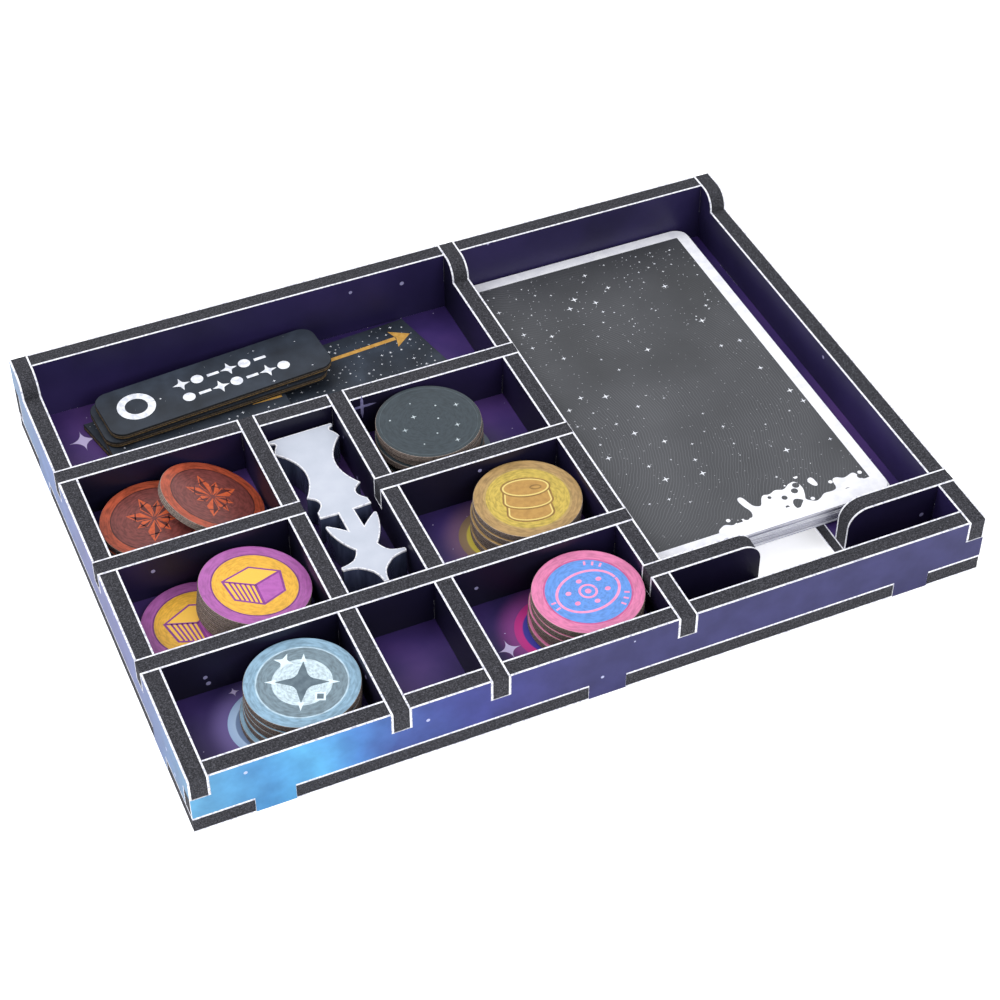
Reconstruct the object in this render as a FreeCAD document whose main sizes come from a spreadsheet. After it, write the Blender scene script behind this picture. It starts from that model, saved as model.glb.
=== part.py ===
"""Open foam-board organiser tray for a board game, with the pieces that lie in it.

Fourteen flat foam-board panels slot together with half-laps and edge tabs. The tray holds
six stacks of round tokens, four marker boards, a white marker and a pile of cards.
Units are millimetres. +X runs left to right along the long front, +Y front to back, +Z up.
The origin is the middle of the underside.
"""
import FreeCAD, Part
import math
import os
import Sketcher

SIZES = {
    # foam board and the clear sizes of the bays
    "foam": 5.0,
    "token_bay": 44.0,
    "marker_bay": 20.0,
    "card_bay": 76.0,
    "row_depth": 30.0,
    "back_bay": 36.0,
    "finger_channel": 10.0,
    # heights above the base panel
    "wall_height": 13.0,
    "back_height": 18.3,
    "rise_flat": 6.3,
    "rise_radius": 5.0,
    # slots, tabs and the finger opening
    "slot_fit": 0.05,
    "tab_width": 10.0,
    "front_tab_inset": 15.0,
    "side_tab_inset": 20.0,
    "thumb_gap": 25.0,
    "thumb_radius": 5.5,
    "window_inset": 3.0,
    "window_depth": 30.0,
    # tokens
    "token_play": 2.0,
    "token_thickness": 1.95,
    "layer_gap": 0.05,
    "side_gap": 0.3,
    # cards
    "card_play": 6.0,
    "card_thickness": 0.29,
    "card_gap": 0.01,
    "card_radius": 4.0,
    # marker boards
    "board_thickness": 1.95,
    "arrow_board_length": 95.0,
    "arrow_board_play": 14.0,
    "arrow_board_slant": 3.4,
    "arrow_board_back": 1.2,
    "arrow_board_turn": 4.2,
    "ring_board_length": 64.0,
    "ring_board_play": 18.0,
    "ring_board_radius": 4.0,
    "lower_ring_left": 15.4,
    "lower_ring_back": 4.2,
    "lower_ring_turn": 3.7,
    "upper_ring_left": 13.7,
    "upper_ring_back": 4.8,
    "upper_ring_turn": 4.5,
    "dash_board_length": 50.0,
    "dash_board_radius": 2.0,
    "dash_board_left": 21.7,
    "dash_board_back": -2.5,
    "dash_board_turn": 2.0,
    # white marker: foot and hip from its back end, the rest in order from its front tip
    "marker_play": 2.0,
    "marker_front_play": 3.6,
    "marker_back_play": 2.0,
    "marker_thickness": 9.0,
    "foot_depth": 1.2,
    "foot_notch": 1.4,
    "hip_drop": 5.4,
    "star_front_arm": 10.0,
    "front_arm_root": 5.7,
    "front_arm_half": 1.7,
    "side_arm_root": 3.0,
    "side_arm_half": 4.7,
    "side_arm_tip": 1.6,
    "side_arm_play": 0.6,
    "star_waist": 3.2,
    "star_waist_half": 2.9,
    "back_arm_reach": 13.7,
    "back_arm_half": 6.7,
    "crotch_reach": 10.1,
    "neck_length": 7.0,
    "neck_width": 4.2,
    "collar_depth": 2.3,
    "collar_width": 13.8,
    "throat_length": 6.0,
    "throat_radius": 3.2,
    "flare_width": 14.6,
    "waist_hollow": 3.9,
}

CARDS_IN_PILE = 16

doc = FreeCAD.newDocument("organiser_tray")
sheet = doc.addObject("Spreadsheet::Sheet", "Size")
for row, (alias, number) in enumerate(SIZES.items(), start=1):
    sheet.set(f"A{row}", alias)
    sheet.set(f"B{row}", str(number))
    sheet.setAlias(f"B{row}", alias)
doc.recompute()


class Length:
    """A number together with the spreadsheet expression that gives it."""

    def __init__(self, number, text):
        self.number = number
        self.text = text

    def __add__(self, other):
        other = as_length(other)
        return Length(self.number + other.number, f"({self.text} + {other.text})")

    def __sub__(self, other):
        other = as_length(other)
        return Length(self.number - other.number, f"({self.text} - {other.text})")

    def __mul__(self, other):
        other = as_length(other)
        return Length(self.number * other.number, f"({self.text} * {other.text})")

    def __truediv__(self, other):
        other = as_length(other)
        return Length(self.number / other.number, f"({self.text} / {other.text})")

    def __neg__(self):
        return Length(-self.number, f"(0 - {self.text})")


def as_length(value):
    return value if isinstance(value, Length) else Length(float(value), repr(float(value)))


def size(alias):
    return Length(float(sheet.get(alias)), f"Size.{alias}")


def slope_angle(rise, run):
    return Length(math.degrees(math.atan(rise.number / run.number)), f"atan({rise.text} / {run.text})")


def root(square):
    return Length(math.sqrt(square.number), f"sqrt({square.text})")


def sine(angle):
    return Length(math.sin(math.radians(angle.number)), f"sin({angle.text})")


def cosine(angle):
    return Length(math.cos(math.radians(angle.number)), f"cos({angle.text})")


# ---------------------------------------------------------------- named places in the tray
FOAM = size("foam")
FIT = size("slot_fit")
ROW = size("row_depth")

TRAY_LENGTH = FOAM * 5 + size("token_bay") * 2 + size("marker_bay") + size("card_bay")
TRAY_DEPTH = FOAM * 5 + ROW * 3 + size("back_bay")

# left faces of the walls that run front to back
X_LEFT = -(TRAY_LENGTH / 2)
X_COLUMN_LEFT = X_LEFT + FOAM + size("token_bay")
X_COLUMN_RIGHT = X_COLUMN_LEFT + FOAM + size("marker_bay")
X_CARD_WALL = X_COLUMN_RIGHT + FOAM + size("token_bay")
X_RIGHT = X_CARD_WALL + FOAM + size("card_bay")

# front faces of the walls that run left to right
Y_FRONT = -(TRAY_DEPTH / 2)
Y_STOP = Y_FRONT + FOAM + size("finger_channel")
Y_ROW_2 = Y_FRONT + FOAM + ROW
Y_ROW_3 = Y_ROW_2 + FOAM + ROW
Y_BOARD_BAY = Y_ROW_3 + FOAM + ROW
Y_BACK = Y_BOARD_BAY + FOAM + size("back_bay")

Z_FLOOR = FOAM
Z_WALL = Z_FLOOR + size("wall_height")
Z_BACK = Z_FLOOR + size("back_height")
Z_LAP = Z_FLOOR + size("wall_height") / 2
Z_BACK_LAP = Z_FLOOR + size("back_height") / 2

X_THUMB = X_CARD_WALL + FOAM + (size("card_bay") - size("thumb_gap")) / 2
TOKEN_DIAMETER = ROW - size("token_play")

parts = []
cutters = {}


# ---------------------------------------------------------------- helpers
def bind(obj, **expressions):
    """Bind properties of an object to lengths; x, y and z stand for its position."""
    for name, length in expressions.items():
        path = f"Placement.Base.{name}" if name in ("x", "y", "z") else name
        obj.setExpression(path, as_length(length).text)
    return obj


def box(name, x, y, z, length, width, height):
    return bind(doc.addObject("Part::Box", name), x=x, y=y, z=z, Length=length, Width=width, Height=height)


def finish(obj, label):
    """Give a sub-part its name and keep it for export."""
    obj.Label = label
    parts.append(obj)
    return obj


def fuse(name, shapes):
    joined = doc.addObject("Part::MultiFuse", name)
    joined.Shapes = shapes
    joined.Refine = True
    return joined


def finish_panel(solid, label):
    """Cut every slot that was noted for this panel, and keep the result."""
    cut = doc.addObject("Part::Cut", label + "_cut")
    cut.Base = solid
    cut.Tool = fuse(label + "_slots", cutters[label]) if len(cutters[label]) > 1 else cutters[label][0]
    cut.Refine = True
    return finish(cut, label)


def note_cut(label, x, y, z, length, width, height):
    tools = cutters.setdefault(label, [])
    tools.append(box(f"{label}_slot_{len(tools)}", x, y, z, length, width, height))


def half_lap(over, under, x, y, middle=Z_LAP, top=Z_WALL):
    """Two panels cross at x, y: one loses its lower half there, the other its upper half."""
    side = FOAM + FIT * 2
    note_cut(over, x - FIT, y - FIT, Z_FLOOR - FIT, side, side, middle + FIT * 2 - Z_FLOOR)
    note_cut(under, x - FIT, y - FIT, middle, side, side, top + FIT - middle)


def edge_tab(name, x, y, length, width):
    """A tab below a wall, and the notch in the base's edge that it drops into."""
    note_cut("base_panel", x - FIT, y - FIT, -FIT, length + FIT * 2, width + FIT * 2, Z_FLOOR + FIT * 2)
    return box(name, x, y, 0, length, width, Z_FLOOR)


def origin_plane(body, role):
    return next(item for item in body.Origin.OriginFeatures if item.Role == role)


def arc_between(start, end, radius):
    """The short arc between two points, bulging right of travel, or left if radius is negative."""
    chord = end - start
    side = FreeCAD.Vector(chord.y, -chord.x, 0).normalize()
    sagitta = abs(radius) - math.sqrt(max(radius ** 2 - (chord.Length / 2) ** 2, 0))
    return Part.Arc(start, (start + end) * 0.5 + side * math.copysign(sagitta, radius), end)


def outline(body, role, corners):
    """Draw a closed outline, counter-clockwise, on one of the body's origin planes.

    Each corner is (x, y) or (x, y, radius). With a radius the stretch to the next corner is an
    arc: a positive radius bulges outwards and a negative one inwards.
    """
    sketch = body.newObject("Sketcher::SketchObject", body.Name + "_outline")
    sketch.AttachmentSupport = [(origin_plane(body, role), "")]
    sketch.MapMode = "FlatFace"
    points = [FreeCAD.Vector(corner[0].number, corner[1].number, 0) for corner in corners]
    for index, corner in enumerate(corners):
        start, end = points[index], points[(index + 1) % len(points)]
        curved = len(corner) == 3
        edge = arc_between(start, end, corner[2].number) if curved else Part.LineSegment(start, end)
        sketch.addGeometry(edge)
    for index, corner in enumerate(corners):
        join_corner(sketch, corners, index)
    return sketch


def first_end(corner):
    """The sketcher numbers an arc's ends counter-clockwise, so an inward arc starts at end 2."""
    return 2 if len(corner) == 3 and corner[2].number < 0 else 1


def join_corner(sketch, corners, index):
    """Tie one corner to the piece before it, and bind its place to the spreadsheet."""
    corner = corners[index]
    before = (index - 1) % len(corners)
    begin = first_end(corner)
    end = 3 - first_end(corners[before])
    sketch.addConstraint(Sketcher.Constraint("Coincident", before, end, index, begin))
    for kind, length in (("DistanceX", corner[0]), ("DistanceY", corner[1])):
        place = Sketcher.Constraint(kind, -1, 1, index, begin, length.number)
        sketch.setExpression(f"Constraints[{sketch.addConstraint(place)}]", length.text)
    if len(corner) == 3:
        radius = corner[2] if corner[2].number > 0 else -corner[2]
        bend = Sketcher.Constraint("Radius", index, radius.number)
        sketch.setExpression(f"Constraints[{sketch.addConstraint(bend)}]", radius.text)


def plate(name, role, corners, thickness):
    """A flat piece: an outline padded by its thickness."""
    body = doc.addObject("PartDesign::Body", name)
    sketch = outline(body, role, corners)
    pad = body.newObject("PartDesign::Pad", name + "_pad")
    pad.Profile = sketch
    pad.setExpression("Length", as_length(thickness).text)
    sketch.Visibility = False
    return body


# ---------------------------------------------------------------- panels
def note_all_laps():
    """Every place where two panels cross, with the panel whose top edge runs through named first."""
    for wall, x in (("left_wall", X_LEFT), ("column_wall_left", X_COLUMN_LEFT), ("card_wall", X_CARD_WALL),
                    ("column_wall_right", X_COLUMN_RIGHT), ("right_wall", X_RIGHT)):
        half_lap(wall, "front_wall", x, Y_FRONT)
    for wall, x in (("left_wall", X_LEFT), ("card_wall", X_CARD_WALL), ("right_wall", X_RIGHT)):
        half_lap(wall, "back_wall", x, Y_BACK, Z_BACK_LAP, Z_BACK)
    for cross, y in (("board_bay_wall", Y_BOARD_BAY), ("cross_wall_left", Y_ROW_3),
                     ("cross_wall_front", Y_ROW_2)):
        half_lap(cross, "left_wall", X_LEFT, y)
    half_lap("column_wall_left", "board_bay_wall", X_COLUMN_LEFT, Y_BOARD_BAY)
    half_lap("column_wall_right", "board_bay_wall", X_COLUMN_RIGHT, Y_BOARD_BAY)
    half_lap("board_bay_wall", "card_wall", X_CARD_WALL, Y_BOARD_BAY)
    half_lap("cross_wall_left", "column_wall_left", X_COLUMN_LEFT, Y_ROW_3)
    half_lap("cross_wall_front", "column_wall_left", X_COLUMN_LEFT, Y_ROW_2)
    half_lap("cross_wall_front", "column_wall_right", X_COLUMN_RIGHT, Y_ROW_2)
    half_lap("cross_wall_front", "card_wall", X_CARD_WALL, Y_ROW_2)
    half_lap("cross_wall_right", "column_wall_right", X_COLUMN_RIGHT, Y_ROW_3)
    half_lap("cross_wall_right", "card_wall", X_CARD_WALL, Y_ROW_3)
    half_lap("card_stop_left", "card_wall", X_CARD_WALL, Y_STOP)
    half_lap("card_stop_right", "right_wall", X_RIGHT, Y_STOP)


def long_wall_tabs(name, y):
    """Three tabs along a long wall: one near each end and one in the middle."""
    width = size("tab_width")
    inset = size("front_tab_inset")
    places = (X_LEFT + inset, -(width / 2), -X_LEFT - inset - width)
    return [edge_tab(f"{name}_tab_{index}", x, y, width, FOAM) for index, x in enumerate(places, start=1)]


def side_wall_tabs(name, x):
    """Two tabs along a short wall, one near each end."""
    width = size("tab_width")
    inset = size("side_tab_inset")
    places = (Y_FRONT + inset, -Y_FRONT - inset - width)
    return [edge_tab(f"{name}_tab_{index}", x, y, FOAM, width) for index, y in enumerate(places, start=1)]


def straight_wall(label, x, y, length, width, height, tabs=()):
    solid = box(label + "_board", x, y, Z_FLOOR, length, width, height)
    if tabs:
        solid = fuse(label + "_blank", [solid, *tabs])
    return finish_panel(solid, label)


def stepped_wall(label, x, tabs=()):
    """A full-depth wall that is low at the front and curves up to the back wall's height."""
    radius = size("rise_radius")
    y_flat = -Y_FRONT - size("rise_flat")
    y_foot = y_flat - radius
    corners = [
        (Y_FRONT, Z_FLOOR),
        (-Y_FRONT, Z_FLOOR),
        (-Y_FRONT, Z_BACK),
        (y_flat, Z_BACK, radius),
        (y_foot, Z_BACK - radius),
        (y_foot, Z_WALL),
        (Y_FRONT, Z_WALL),
    ]
    body = bind(plate(label + "_board", "YZ_Plane", corners, FOAM), x=x)
    solid = fuse(label + "_blank", [body, *tabs]) if tabs else body
    return finish_panel(solid, label)


def card_stop(label, x_wall, x_end, rounded_left):
    """A partition that stops at the thumb gap with a rounded top corner."""
    radius = size("thumb_radius")
    if rounded_left:
        corners = [(x_end, Z_FLOOR), (x_wall, Z_FLOOR), (x_wall, Z_WALL),
                   (x_end + radius, Z_WALL, radius), (x_end, Z_WALL - radius)]
    else:
        corners = [(x_wall, Z_FLOOR), (x_end, Z_FLOOR), (x_end, Z_WALL - radius, radius),
                   (x_end - radius, Z_WALL), (x_wall, Z_WALL)]
    body = bind(plate(label + "_board", "XZ_Plane", corners, FOAM), y=Y_STOP + FOAM)
    return finish_panel(body, label)


def base_panel():
    """The floor of the tray, with a finger window under the front end of the cards."""
    note_cut("base_panel", X_THUMB, Y_FRONT + FOAM + size("window_inset"), -FIT,
             size("thumb_gap"), size("window_depth"), FOAM + FIT * 2)
    sheet_of_foam = box("base_board", X_LEFT, Y_FRONT, 0, TRAY_LENGTH, TRAY_DEPTH, FOAM)
    return finish_panel(sheet_of_foam, "base_panel")


def make_panels():
    note_all_laps()
    low = size("wall_height")
    across = X_CARD_WALL + FOAM - X_LEFT
    straight_wall("front_wall", X_LEFT, Y_FRONT, TRAY_LENGTH, FOAM, low,
                  long_wall_tabs("front_wall", Y_FRONT))
    straight_wall("back_wall", X_LEFT, Y_BACK, TRAY_LENGTH, FOAM, size("back_height"),
                  long_wall_tabs("back_wall", Y_BACK))
    stepped_wall("left_wall", X_LEFT, side_wall_tabs("left_wall", X_LEFT))
    stepped_wall("right_wall", X_RIGHT, side_wall_tabs("right_wall", X_RIGHT))
    stepped_wall("card_wall", X_CARD_WALL)
    column_depth = Y_BOARD_BAY + FOAM - Y_FRONT
    straight_wall("column_wall_left", X_COLUMN_LEFT, Y_FRONT, FOAM, column_depth, low)
    straight_wall("column_wall_right", X_COLUMN_RIGHT, Y_FRONT, FOAM, column_depth, low)
    straight_wall("board_bay_wall", X_LEFT, Y_BOARD_BAY, across, FOAM, low)
    straight_wall("cross_wall_front", X_LEFT, Y_ROW_2, across, FOAM, low)
    straight_wall("cross_wall_left", X_LEFT, Y_ROW_3, X_COLUMN_LEFT + FOAM - X_LEFT, FOAM, low)
    straight_wall("cross_wall_right", X_COLUMN_RIGHT, Y_ROW_3, X_CARD_WALL + FOAM - X_COLUMN_RIGHT, FOAM, low)
    card_stop("card_stop_left", X_CARD_WALL, X_THUMB, False)
    card_stop("card_stop_right", X_RIGHT + FOAM, X_THUMB + size("thumb_gap"), True)
    base_panel()


# ---------------------------------------------------------------- tokens
PITCH = size("token_thickness") + size("layer_gap")
SIDE = size("side_gap")
RADIUS = TOKEN_DIAMETER / 2


def along(start, room, share):
    """A centre line at a share of the play that a token has in a bay."""
    return start + SIDE + RADIUS + (room - SIDE * 2 - TOKEN_DIAMETER) * share


def token(label, x, y, z):
    disc = doc.addObject("Part::Cylinder", label)
    bind(disc, Radius=RADIUS, Height=size("token_thickness"), x=x, y=y, z=z)
    return finish(disc, label)


def token_pile(colour, x_bay, y_bay, pile):
    """Tokens lying flat on each other, each at its own shares of the bay's play across and along."""
    for level, (share_x, share_y) in enumerate(pile):
        x = along(x_bay, size("token_bay"), share_x)
        y = along(y_bay, ROW, share_y)
        z = Z_FLOOR + size("layer_gap") + PITCH * level
        token(f"{colour}_token_{level + 1}", x, y, z)


def leaning_tokens(colour, x_bay, y_bay, pile, share_y, count):
    """Tokens leaning on a flat pile: one edge is on the floor, the underside on the top token's rim."""
    flat_count = len(pile)
    x_rim = along(x_bay, size("token_bay"), pile[-1][0]) + RADIUS
    room = x_bay + size("token_bay") - SIDE - x_rim
    rise = PITCH * flat_count + size("layer_gap")
    run = (room + root(room * room - PITCH * count * rise * 4)) / 2
    x_foot = x_rim + run
    lean = slope_angle(rise, run)
    y = along(y_bay, ROW, share_y)
    for level in range(count):
        lift = PITCH * level
        x = x_foot - RADIUS * cosine(lean) + lift * sine(lean)
        z = Z_FLOOR + size("layer_gap") * 2 + RADIUS * sine(lean) + lift * cosine(lean)
        disc = token(f"{colour}_token_{flat_count + 1 + level}", x, y, z)
        disc.Placement.Rotation = FreeCAD.Rotation(FreeCAD.Vector(0, 1, 0), lean.number)
        disc.setExpression("Placement.Rotation.Angle", lean.text)


def make_tokens():
    x_left = X_LEFT + FOAM
    x_right = X_COLUMN_RIGHT + FOAM
    y_1 = Y_FRONT + FOAM
    y_2 = Y_ROW_2 + FOAM
    y_3 = Y_ROW_3 + FOAM
    orange_pile = [(0.06, 0.88), (0.02, 0.96), (0.05, 0.92)]
    token_pile("orange", x_left, y_3, orange_pile)
    leaning_tokens("orange", x_left, y_3, orange_pile, 0.95, 1)
    purple_pile = [(0.02, 0.9)]
    token_pile("purple", x_left, y_2, purple_pile)
    leaning_tokens("purple", x_left, y_2, purple_pile, 0.12, 4)
    token_pile("blue", x_left, y_1, [(0.88, 0.1), (0.95, 0.35), (0.97, 0.6), (0.98, 0.55), (0.99, 0.75)])
    token_pile("gold", x_right, y_2, [(0.9, 0.3), (0.93, 0.5), (0.91, 0.6), (0.95, 0.7), (0.97, 0.85)])
    token_pile("pink", x_right, y_1, [(0.92, 0.3), (0.97, 0.4), (0.94, 0.5), (0.97, 0.3), (0.98, 0.45)])
    token_pile("slate", x_right, y_3, [(0.2, 0.85), (0.14, 0.6), (0.18, 0.9), (0.12, 0.7), (0.17, 0.95),
                                       (0.14, 0.85)])


# ---------------------------------------------------------------- marker boards
def turned(body, label, x, y, z, turn):
    """Put a board in its place, turned about an upright line through its middle."""
    bind(body, x=x, y=y, z=z)
    body.Placement.Rotation = FreeCAD.Rotation(FreeCAD.Vector(0, 0, 1), turn.number)
    body.setExpression("Placement.Rotation.Angle", turn.text)
    return finish(body, label)


def rounded_plate(name, length, width, radius, thickness):
    """A rectangle centred on its own origin, with four round corners."""
    half_x = length / 2
    half_y = width / 2
    in_x = half_x - radius
    in_y = half_y - radius
    corners = [
        (-in_x, -half_y), (in_x, -half_y, radius),
        (half_x, -in_y), (half_x, in_y, radius),
        (in_x, half_y), (-in_x, half_y, radius),
        (-half_x, in_y), (-half_x, -in_y, radius),
    ]
    return plate(name, "XY_Plane", corners, thickness)


def slanted_plate(name, length, width, slant, thickness):
    """A parallelogram centred on its own origin, whose ends lean to the left as they go back."""
    half_x = length / 2
    half_y = width / 2
    lean = slant / 2
    corners = [(lean - half_x, -half_y), (half_x + lean, -half_y),
               (half_x - lean, half_y), (-half_x - lean, half_y)]
    return plate(name, "XY_Plane", corners, thickness)


def make_boards():
    """Four boards heaped in the back bay, each a little turned, on each other."""
    pitch = size("board_thickness") + size("layer_gap")
    x_middle = (X_LEFT + FOAM + X_CARD_WALL) / 2
    y_middle = (Y_BOARD_BAY + FOAM + Y_BACK) / 2
    z = Z_FLOOR + size("layer_gap")
    arrow_width = size("back_bay") - size("arrow_board_play")
    ring_width = size("back_bay") - size("ring_board_play")
    arrow = slanted_plate("arrow_plate", size("arrow_board_length"), arrow_width, size("arrow_board_slant"),
                          size("board_thickness"))
    turned(arrow, "arrow_board", x_middle, y_middle + size("arrow_board_back"), z, size("arrow_board_turn"))
    heap = (("dash_board", "dash_board", size("dash_board_length"), size("dash_board_radius")),
            ("ring_board_lower", "lower_ring", size("ring_board_length"), size("ring_board_radius")),
            ("ring_board_upper", "upper_ring", size("ring_board_length"), size("ring_board_radius")))
    for level, (label, place, length, radius) in enumerate(heap, start=1):
        board = rounded_plate(label + "_plate", length, ring_width, radius, size("board_thickness"))
        turned(board, label, x_middle - size(place + "_left"), y_middle + size(place + "_back"),
               z + pitch * level, size(place + "_turn"))


# ---------------------------------------------------------------- white marker
def hollow_radius(across, along_edge, hollow):
    """The radius of an arc whose ends are that far apart and whose middle is hollowed that deep."""
    return ((across * across + along_edge * along_edge) / 4 + hollow * hollow) / (hollow * 2)


def white_marker():
    """A thick cut-out piece: a waisted tower with a five-armed star at its front end."""
    half = (size("marker_bay") - size("marker_play")) / 2
    length = ROW * 2 + FOAM - size("marker_front_play") - size("marker_back_play")
    foot = size("foot_depth")
    notch = size("foot_notch")
    star = length - size("star_front_arm")
    crotch = star - size("crotch_reach")
    collar_end = crotch - size("neck_length")
    collar = collar_end - size("collar_depth")
    flare = collar - size("throat_length")
    half_flare = size("flare_width") / 2
    waist_radius = hollow_radius(half - half_flare, flare - size("hip_drop"), size("waist_hollow"))

    # (half width, distance from the back end) down one side, with the radius of the arc to the point before
    front_to_back = [
        (size("front_arm_half"), star + size("front_arm_root")),
        (size("side_arm_half"), star + size("side_arm_root")),
        (half - size("side_arm_play"), star + size("side_arm_tip")),
        (size("side_arm_half"), star),
        (size("star_waist_half"), star - size("star_waist")),
        (size("back_arm_half"), star - size("back_arm_reach")),
        (size("neck_width") / 2, crotch),
        (size("neck_width") / 2, collar_end),
        (size("collar_width") / 2, collar_end),
        (size("collar_width") / 2, collar, -size("throat_radius")),
        (half_flare, flare, -waist_radius),
        (half, size("hip_drop")),
        (half - notch, foot + notch),
        (half - notch, foot),
        (half, foot),
        (half, as_length(0)),
    ]
    corners = [(as_length(0), -length)]
    corners += [(across, -drop, *bend) for across, drop, *bend in front_to_back]
    bends = [bend for across, drop, *bend in front_to_back]
    for index in range(len(front_to_back) - 1, -1, -1):
        across, drop = front_to_back[index][:2]
        corners.append((-across, -drop, *(bends[index - 1] if index else [])))
    body = plate("marker_plate", "XY_Plane", corners, size("marker_thickness"))
    x = (X_COLUMN_LEFT + FOAM + X_COLUMN_RIGHT) / 2
    bind(body, x=x, y=Y_BOARD_BAY - size("marker_back_play"), z=Z_FLOOR + size("layer_gap"))
    finish(body, "white_marker")


# ---------------------------------------------------------------- cards
def card(name, x, y, z):
    """One card, lying flat with its middle at x, y."""
    width = size("card_bay") - size("card_play")
    length = Y_BACK - Y_STOP - FOAM - size("card_play")
    body = rounded_plate(name, width, length, size("card_radius"), size("card_thickness"))
    return bind(body, x=x, y=y, z=z)


def make_cards():
    """A squared-up pile of loose cards, and the top card as a piece of its own."""
    pitch = size("card_thickness") + size("card_gap")
    x = (X_CARD_WALL + FOAM + X_RIGHT - size("card_play")) / 2 + SIDE
    y = (Y_STOP + FOAM + Y_BACK + size("card_play")) / 2 - SIDE * 2
    z = Z_FLOOR + size("layer_gap")
    pile = [card(f"card_{level + 1}", x, y, z + pitch * level) for level in range(CARDS_IN_PILE)]
    deck = doc.addObject("Part::Compound", "deck_pile")
    deck.Links = pile
    finish(deck, "card_deck")
    finish(card("top_card_plate", x, y, z + pitch * CARDS_IN_PILE + size("card_gap")), "top_card")


# ---------------------------------------------------------------- build, check and write
def check_document():
    """Refuse to write anything if an object failed or a shape is unsound."""
    faults = [f"{obj.Name}: {obj.State}" for obj in doc.Objects if {"Invalid", "Error"} & set(obj.State)]
    for part in parts:
        if part.Shape.isNull() or not part.Shape.isValid() or part.Shape.Volume <= 0:
            faults.append(f"{part.Label}: unsound shape")
    if faults:
        raise RuntimeError("; ".join(faults))


make_panels()
make_tokens()
make_boards()
white_marker()
make_cards()
doc.recompute()
check_document()
os.makedirs("parts", exist_ok=True)
for part in parts:
    part.Shape.exportStep(f"parts/{part.Label}.step")
    extent = part.Shape.BoundBox
    print(f"{part.Label}: {len(part.Shape.Solids)} solid, {extent.XLength:.2f} x {extent.YLength:.2f} x "
          f"{extent.ZLength:.2f} mm, {part.Shape.Volume:.0f} mm3")
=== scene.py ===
# %% [markdown]
# # A foam-board organiser tray, made in Blender
# This file builds the looks of an open organiser tray for a board game: fourteen foam-board panels slotted
# together, and the tokens, boards, cards and white marker that lie in its bays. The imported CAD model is
# the fixed frame. It says where everything is, and each piece made here rides on one of its bodies.
#
# Every length below is written in millimetres and turned into metres where the mesh is made.

# %% Load the frame
import bmesh
import bpy
import math
import random
from mathutils import Matrix, Vector, noise


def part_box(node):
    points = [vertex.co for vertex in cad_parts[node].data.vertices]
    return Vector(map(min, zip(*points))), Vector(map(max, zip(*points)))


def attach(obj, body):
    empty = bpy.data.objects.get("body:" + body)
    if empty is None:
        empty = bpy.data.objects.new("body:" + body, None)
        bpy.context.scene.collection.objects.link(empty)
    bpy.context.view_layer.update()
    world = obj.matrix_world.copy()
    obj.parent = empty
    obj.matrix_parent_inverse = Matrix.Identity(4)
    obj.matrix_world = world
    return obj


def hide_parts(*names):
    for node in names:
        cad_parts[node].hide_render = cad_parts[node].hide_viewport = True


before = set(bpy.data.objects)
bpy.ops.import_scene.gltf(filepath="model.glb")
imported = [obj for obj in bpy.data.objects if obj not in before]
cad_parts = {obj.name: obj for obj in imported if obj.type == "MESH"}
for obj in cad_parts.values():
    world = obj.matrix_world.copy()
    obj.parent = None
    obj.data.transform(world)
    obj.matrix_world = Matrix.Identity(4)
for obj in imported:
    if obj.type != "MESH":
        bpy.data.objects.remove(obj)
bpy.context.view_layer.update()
MM = 0.001
X, Y, Z = 0, 1, 2
TRAY_LOW, TRAY_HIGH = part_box("base_panel")

# %% [markdown]
# ## Camera, floor and light
# The tray is seen from above its front left corner with a long lens, so its edges stay nearly parallel. It
# could be lit by one strong lamp, but black foam, satin print and white paper are easiest to read in broad
# soft light, so the sky is a plain pale grey and two large soft lamps add a little direction. The floor is
# plain and pale.

# %% Camera
AIM = Vector((3.9, -2.1, 0.0)) * MM
AZIMUTH = math.radians(23.68)
ELEVATION = math.radians(44.14)
DISTANCE = 591.6 * MM


def show(thing):
    """Puts a new object in the scene."""
    bpy.context.scene.collection.objects.link(thing)
    return thing


camera = show(bpy.data.objects.new("camera", bpy.data.cameras.new("camera")))
level = math.cos(ELEVATION)
view = Vector((level * math.sin(AZIMUTH), level * math.cos(AZIMUTH), -math.sin(ELEVATION)))
camera.location = AIM - view * DISTANCE
camera.rotation_euler = view.to_track_quat("-Z", "Y").to_euler()
camera.data.lens = 80.72
camera.data.sensor_width = 36.0
camera.data.shift_y = -0.0048
camera.data.clip_start = 0.01
bpy.context.scene.camera = camera
print("camera stands at", [round(c, 3) for c in camera.location])


# %% Sky, lamps and view
def soft_lamp(name, place, side, watts):
    """A square soft box that faces the tray."""
    lamp = show(bpy.data.objects.new(name, bpy.data.lights.new(name, "AREA")))
    lamp.data.shape = "SQUARE"
    lamp.data.size = side
    lamp.data.energy = watts
    lamp.location = place
    lamp.rotation_euler = (-Vector(place)).to_track_quat("-Z", "Y").to_euler()


sky = bpy.data.worlds.new("studio_sky")
sky.use_nodes = True
glow = sky.node_tree.nodes["Background"]
glow.inputs["Color"].default_value = (0.96, 0.98, 1.0, 1.0)
glow.inputs["Strength"].default_value = 0.78
bpy.context.scene.world = sky
bpy.context.scene.view_settings.view_transform = "Standard"
soft_lamp("key_lamp", (-0.55, 0.35, 1.0), 0.7, 7.0)
soft_lamp("fill_lamp", (0.25, -0.95, 0.75), 0.8, 6.0)
print("sky and two soft lamps are set")

# %% [markdown]
# ## Small tools for materials
# A material in Blender is a graph of nodes. Placing each node by hand is long, so three helpers are enough
# here: one that turns a paint colour into the linear light a shader needs, one that adds any node, and one
# that starts a new material. Patterns read Object coordinates, which are real metres on every piece, so a
# grain keeps its true size from one piece to the next.


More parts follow.
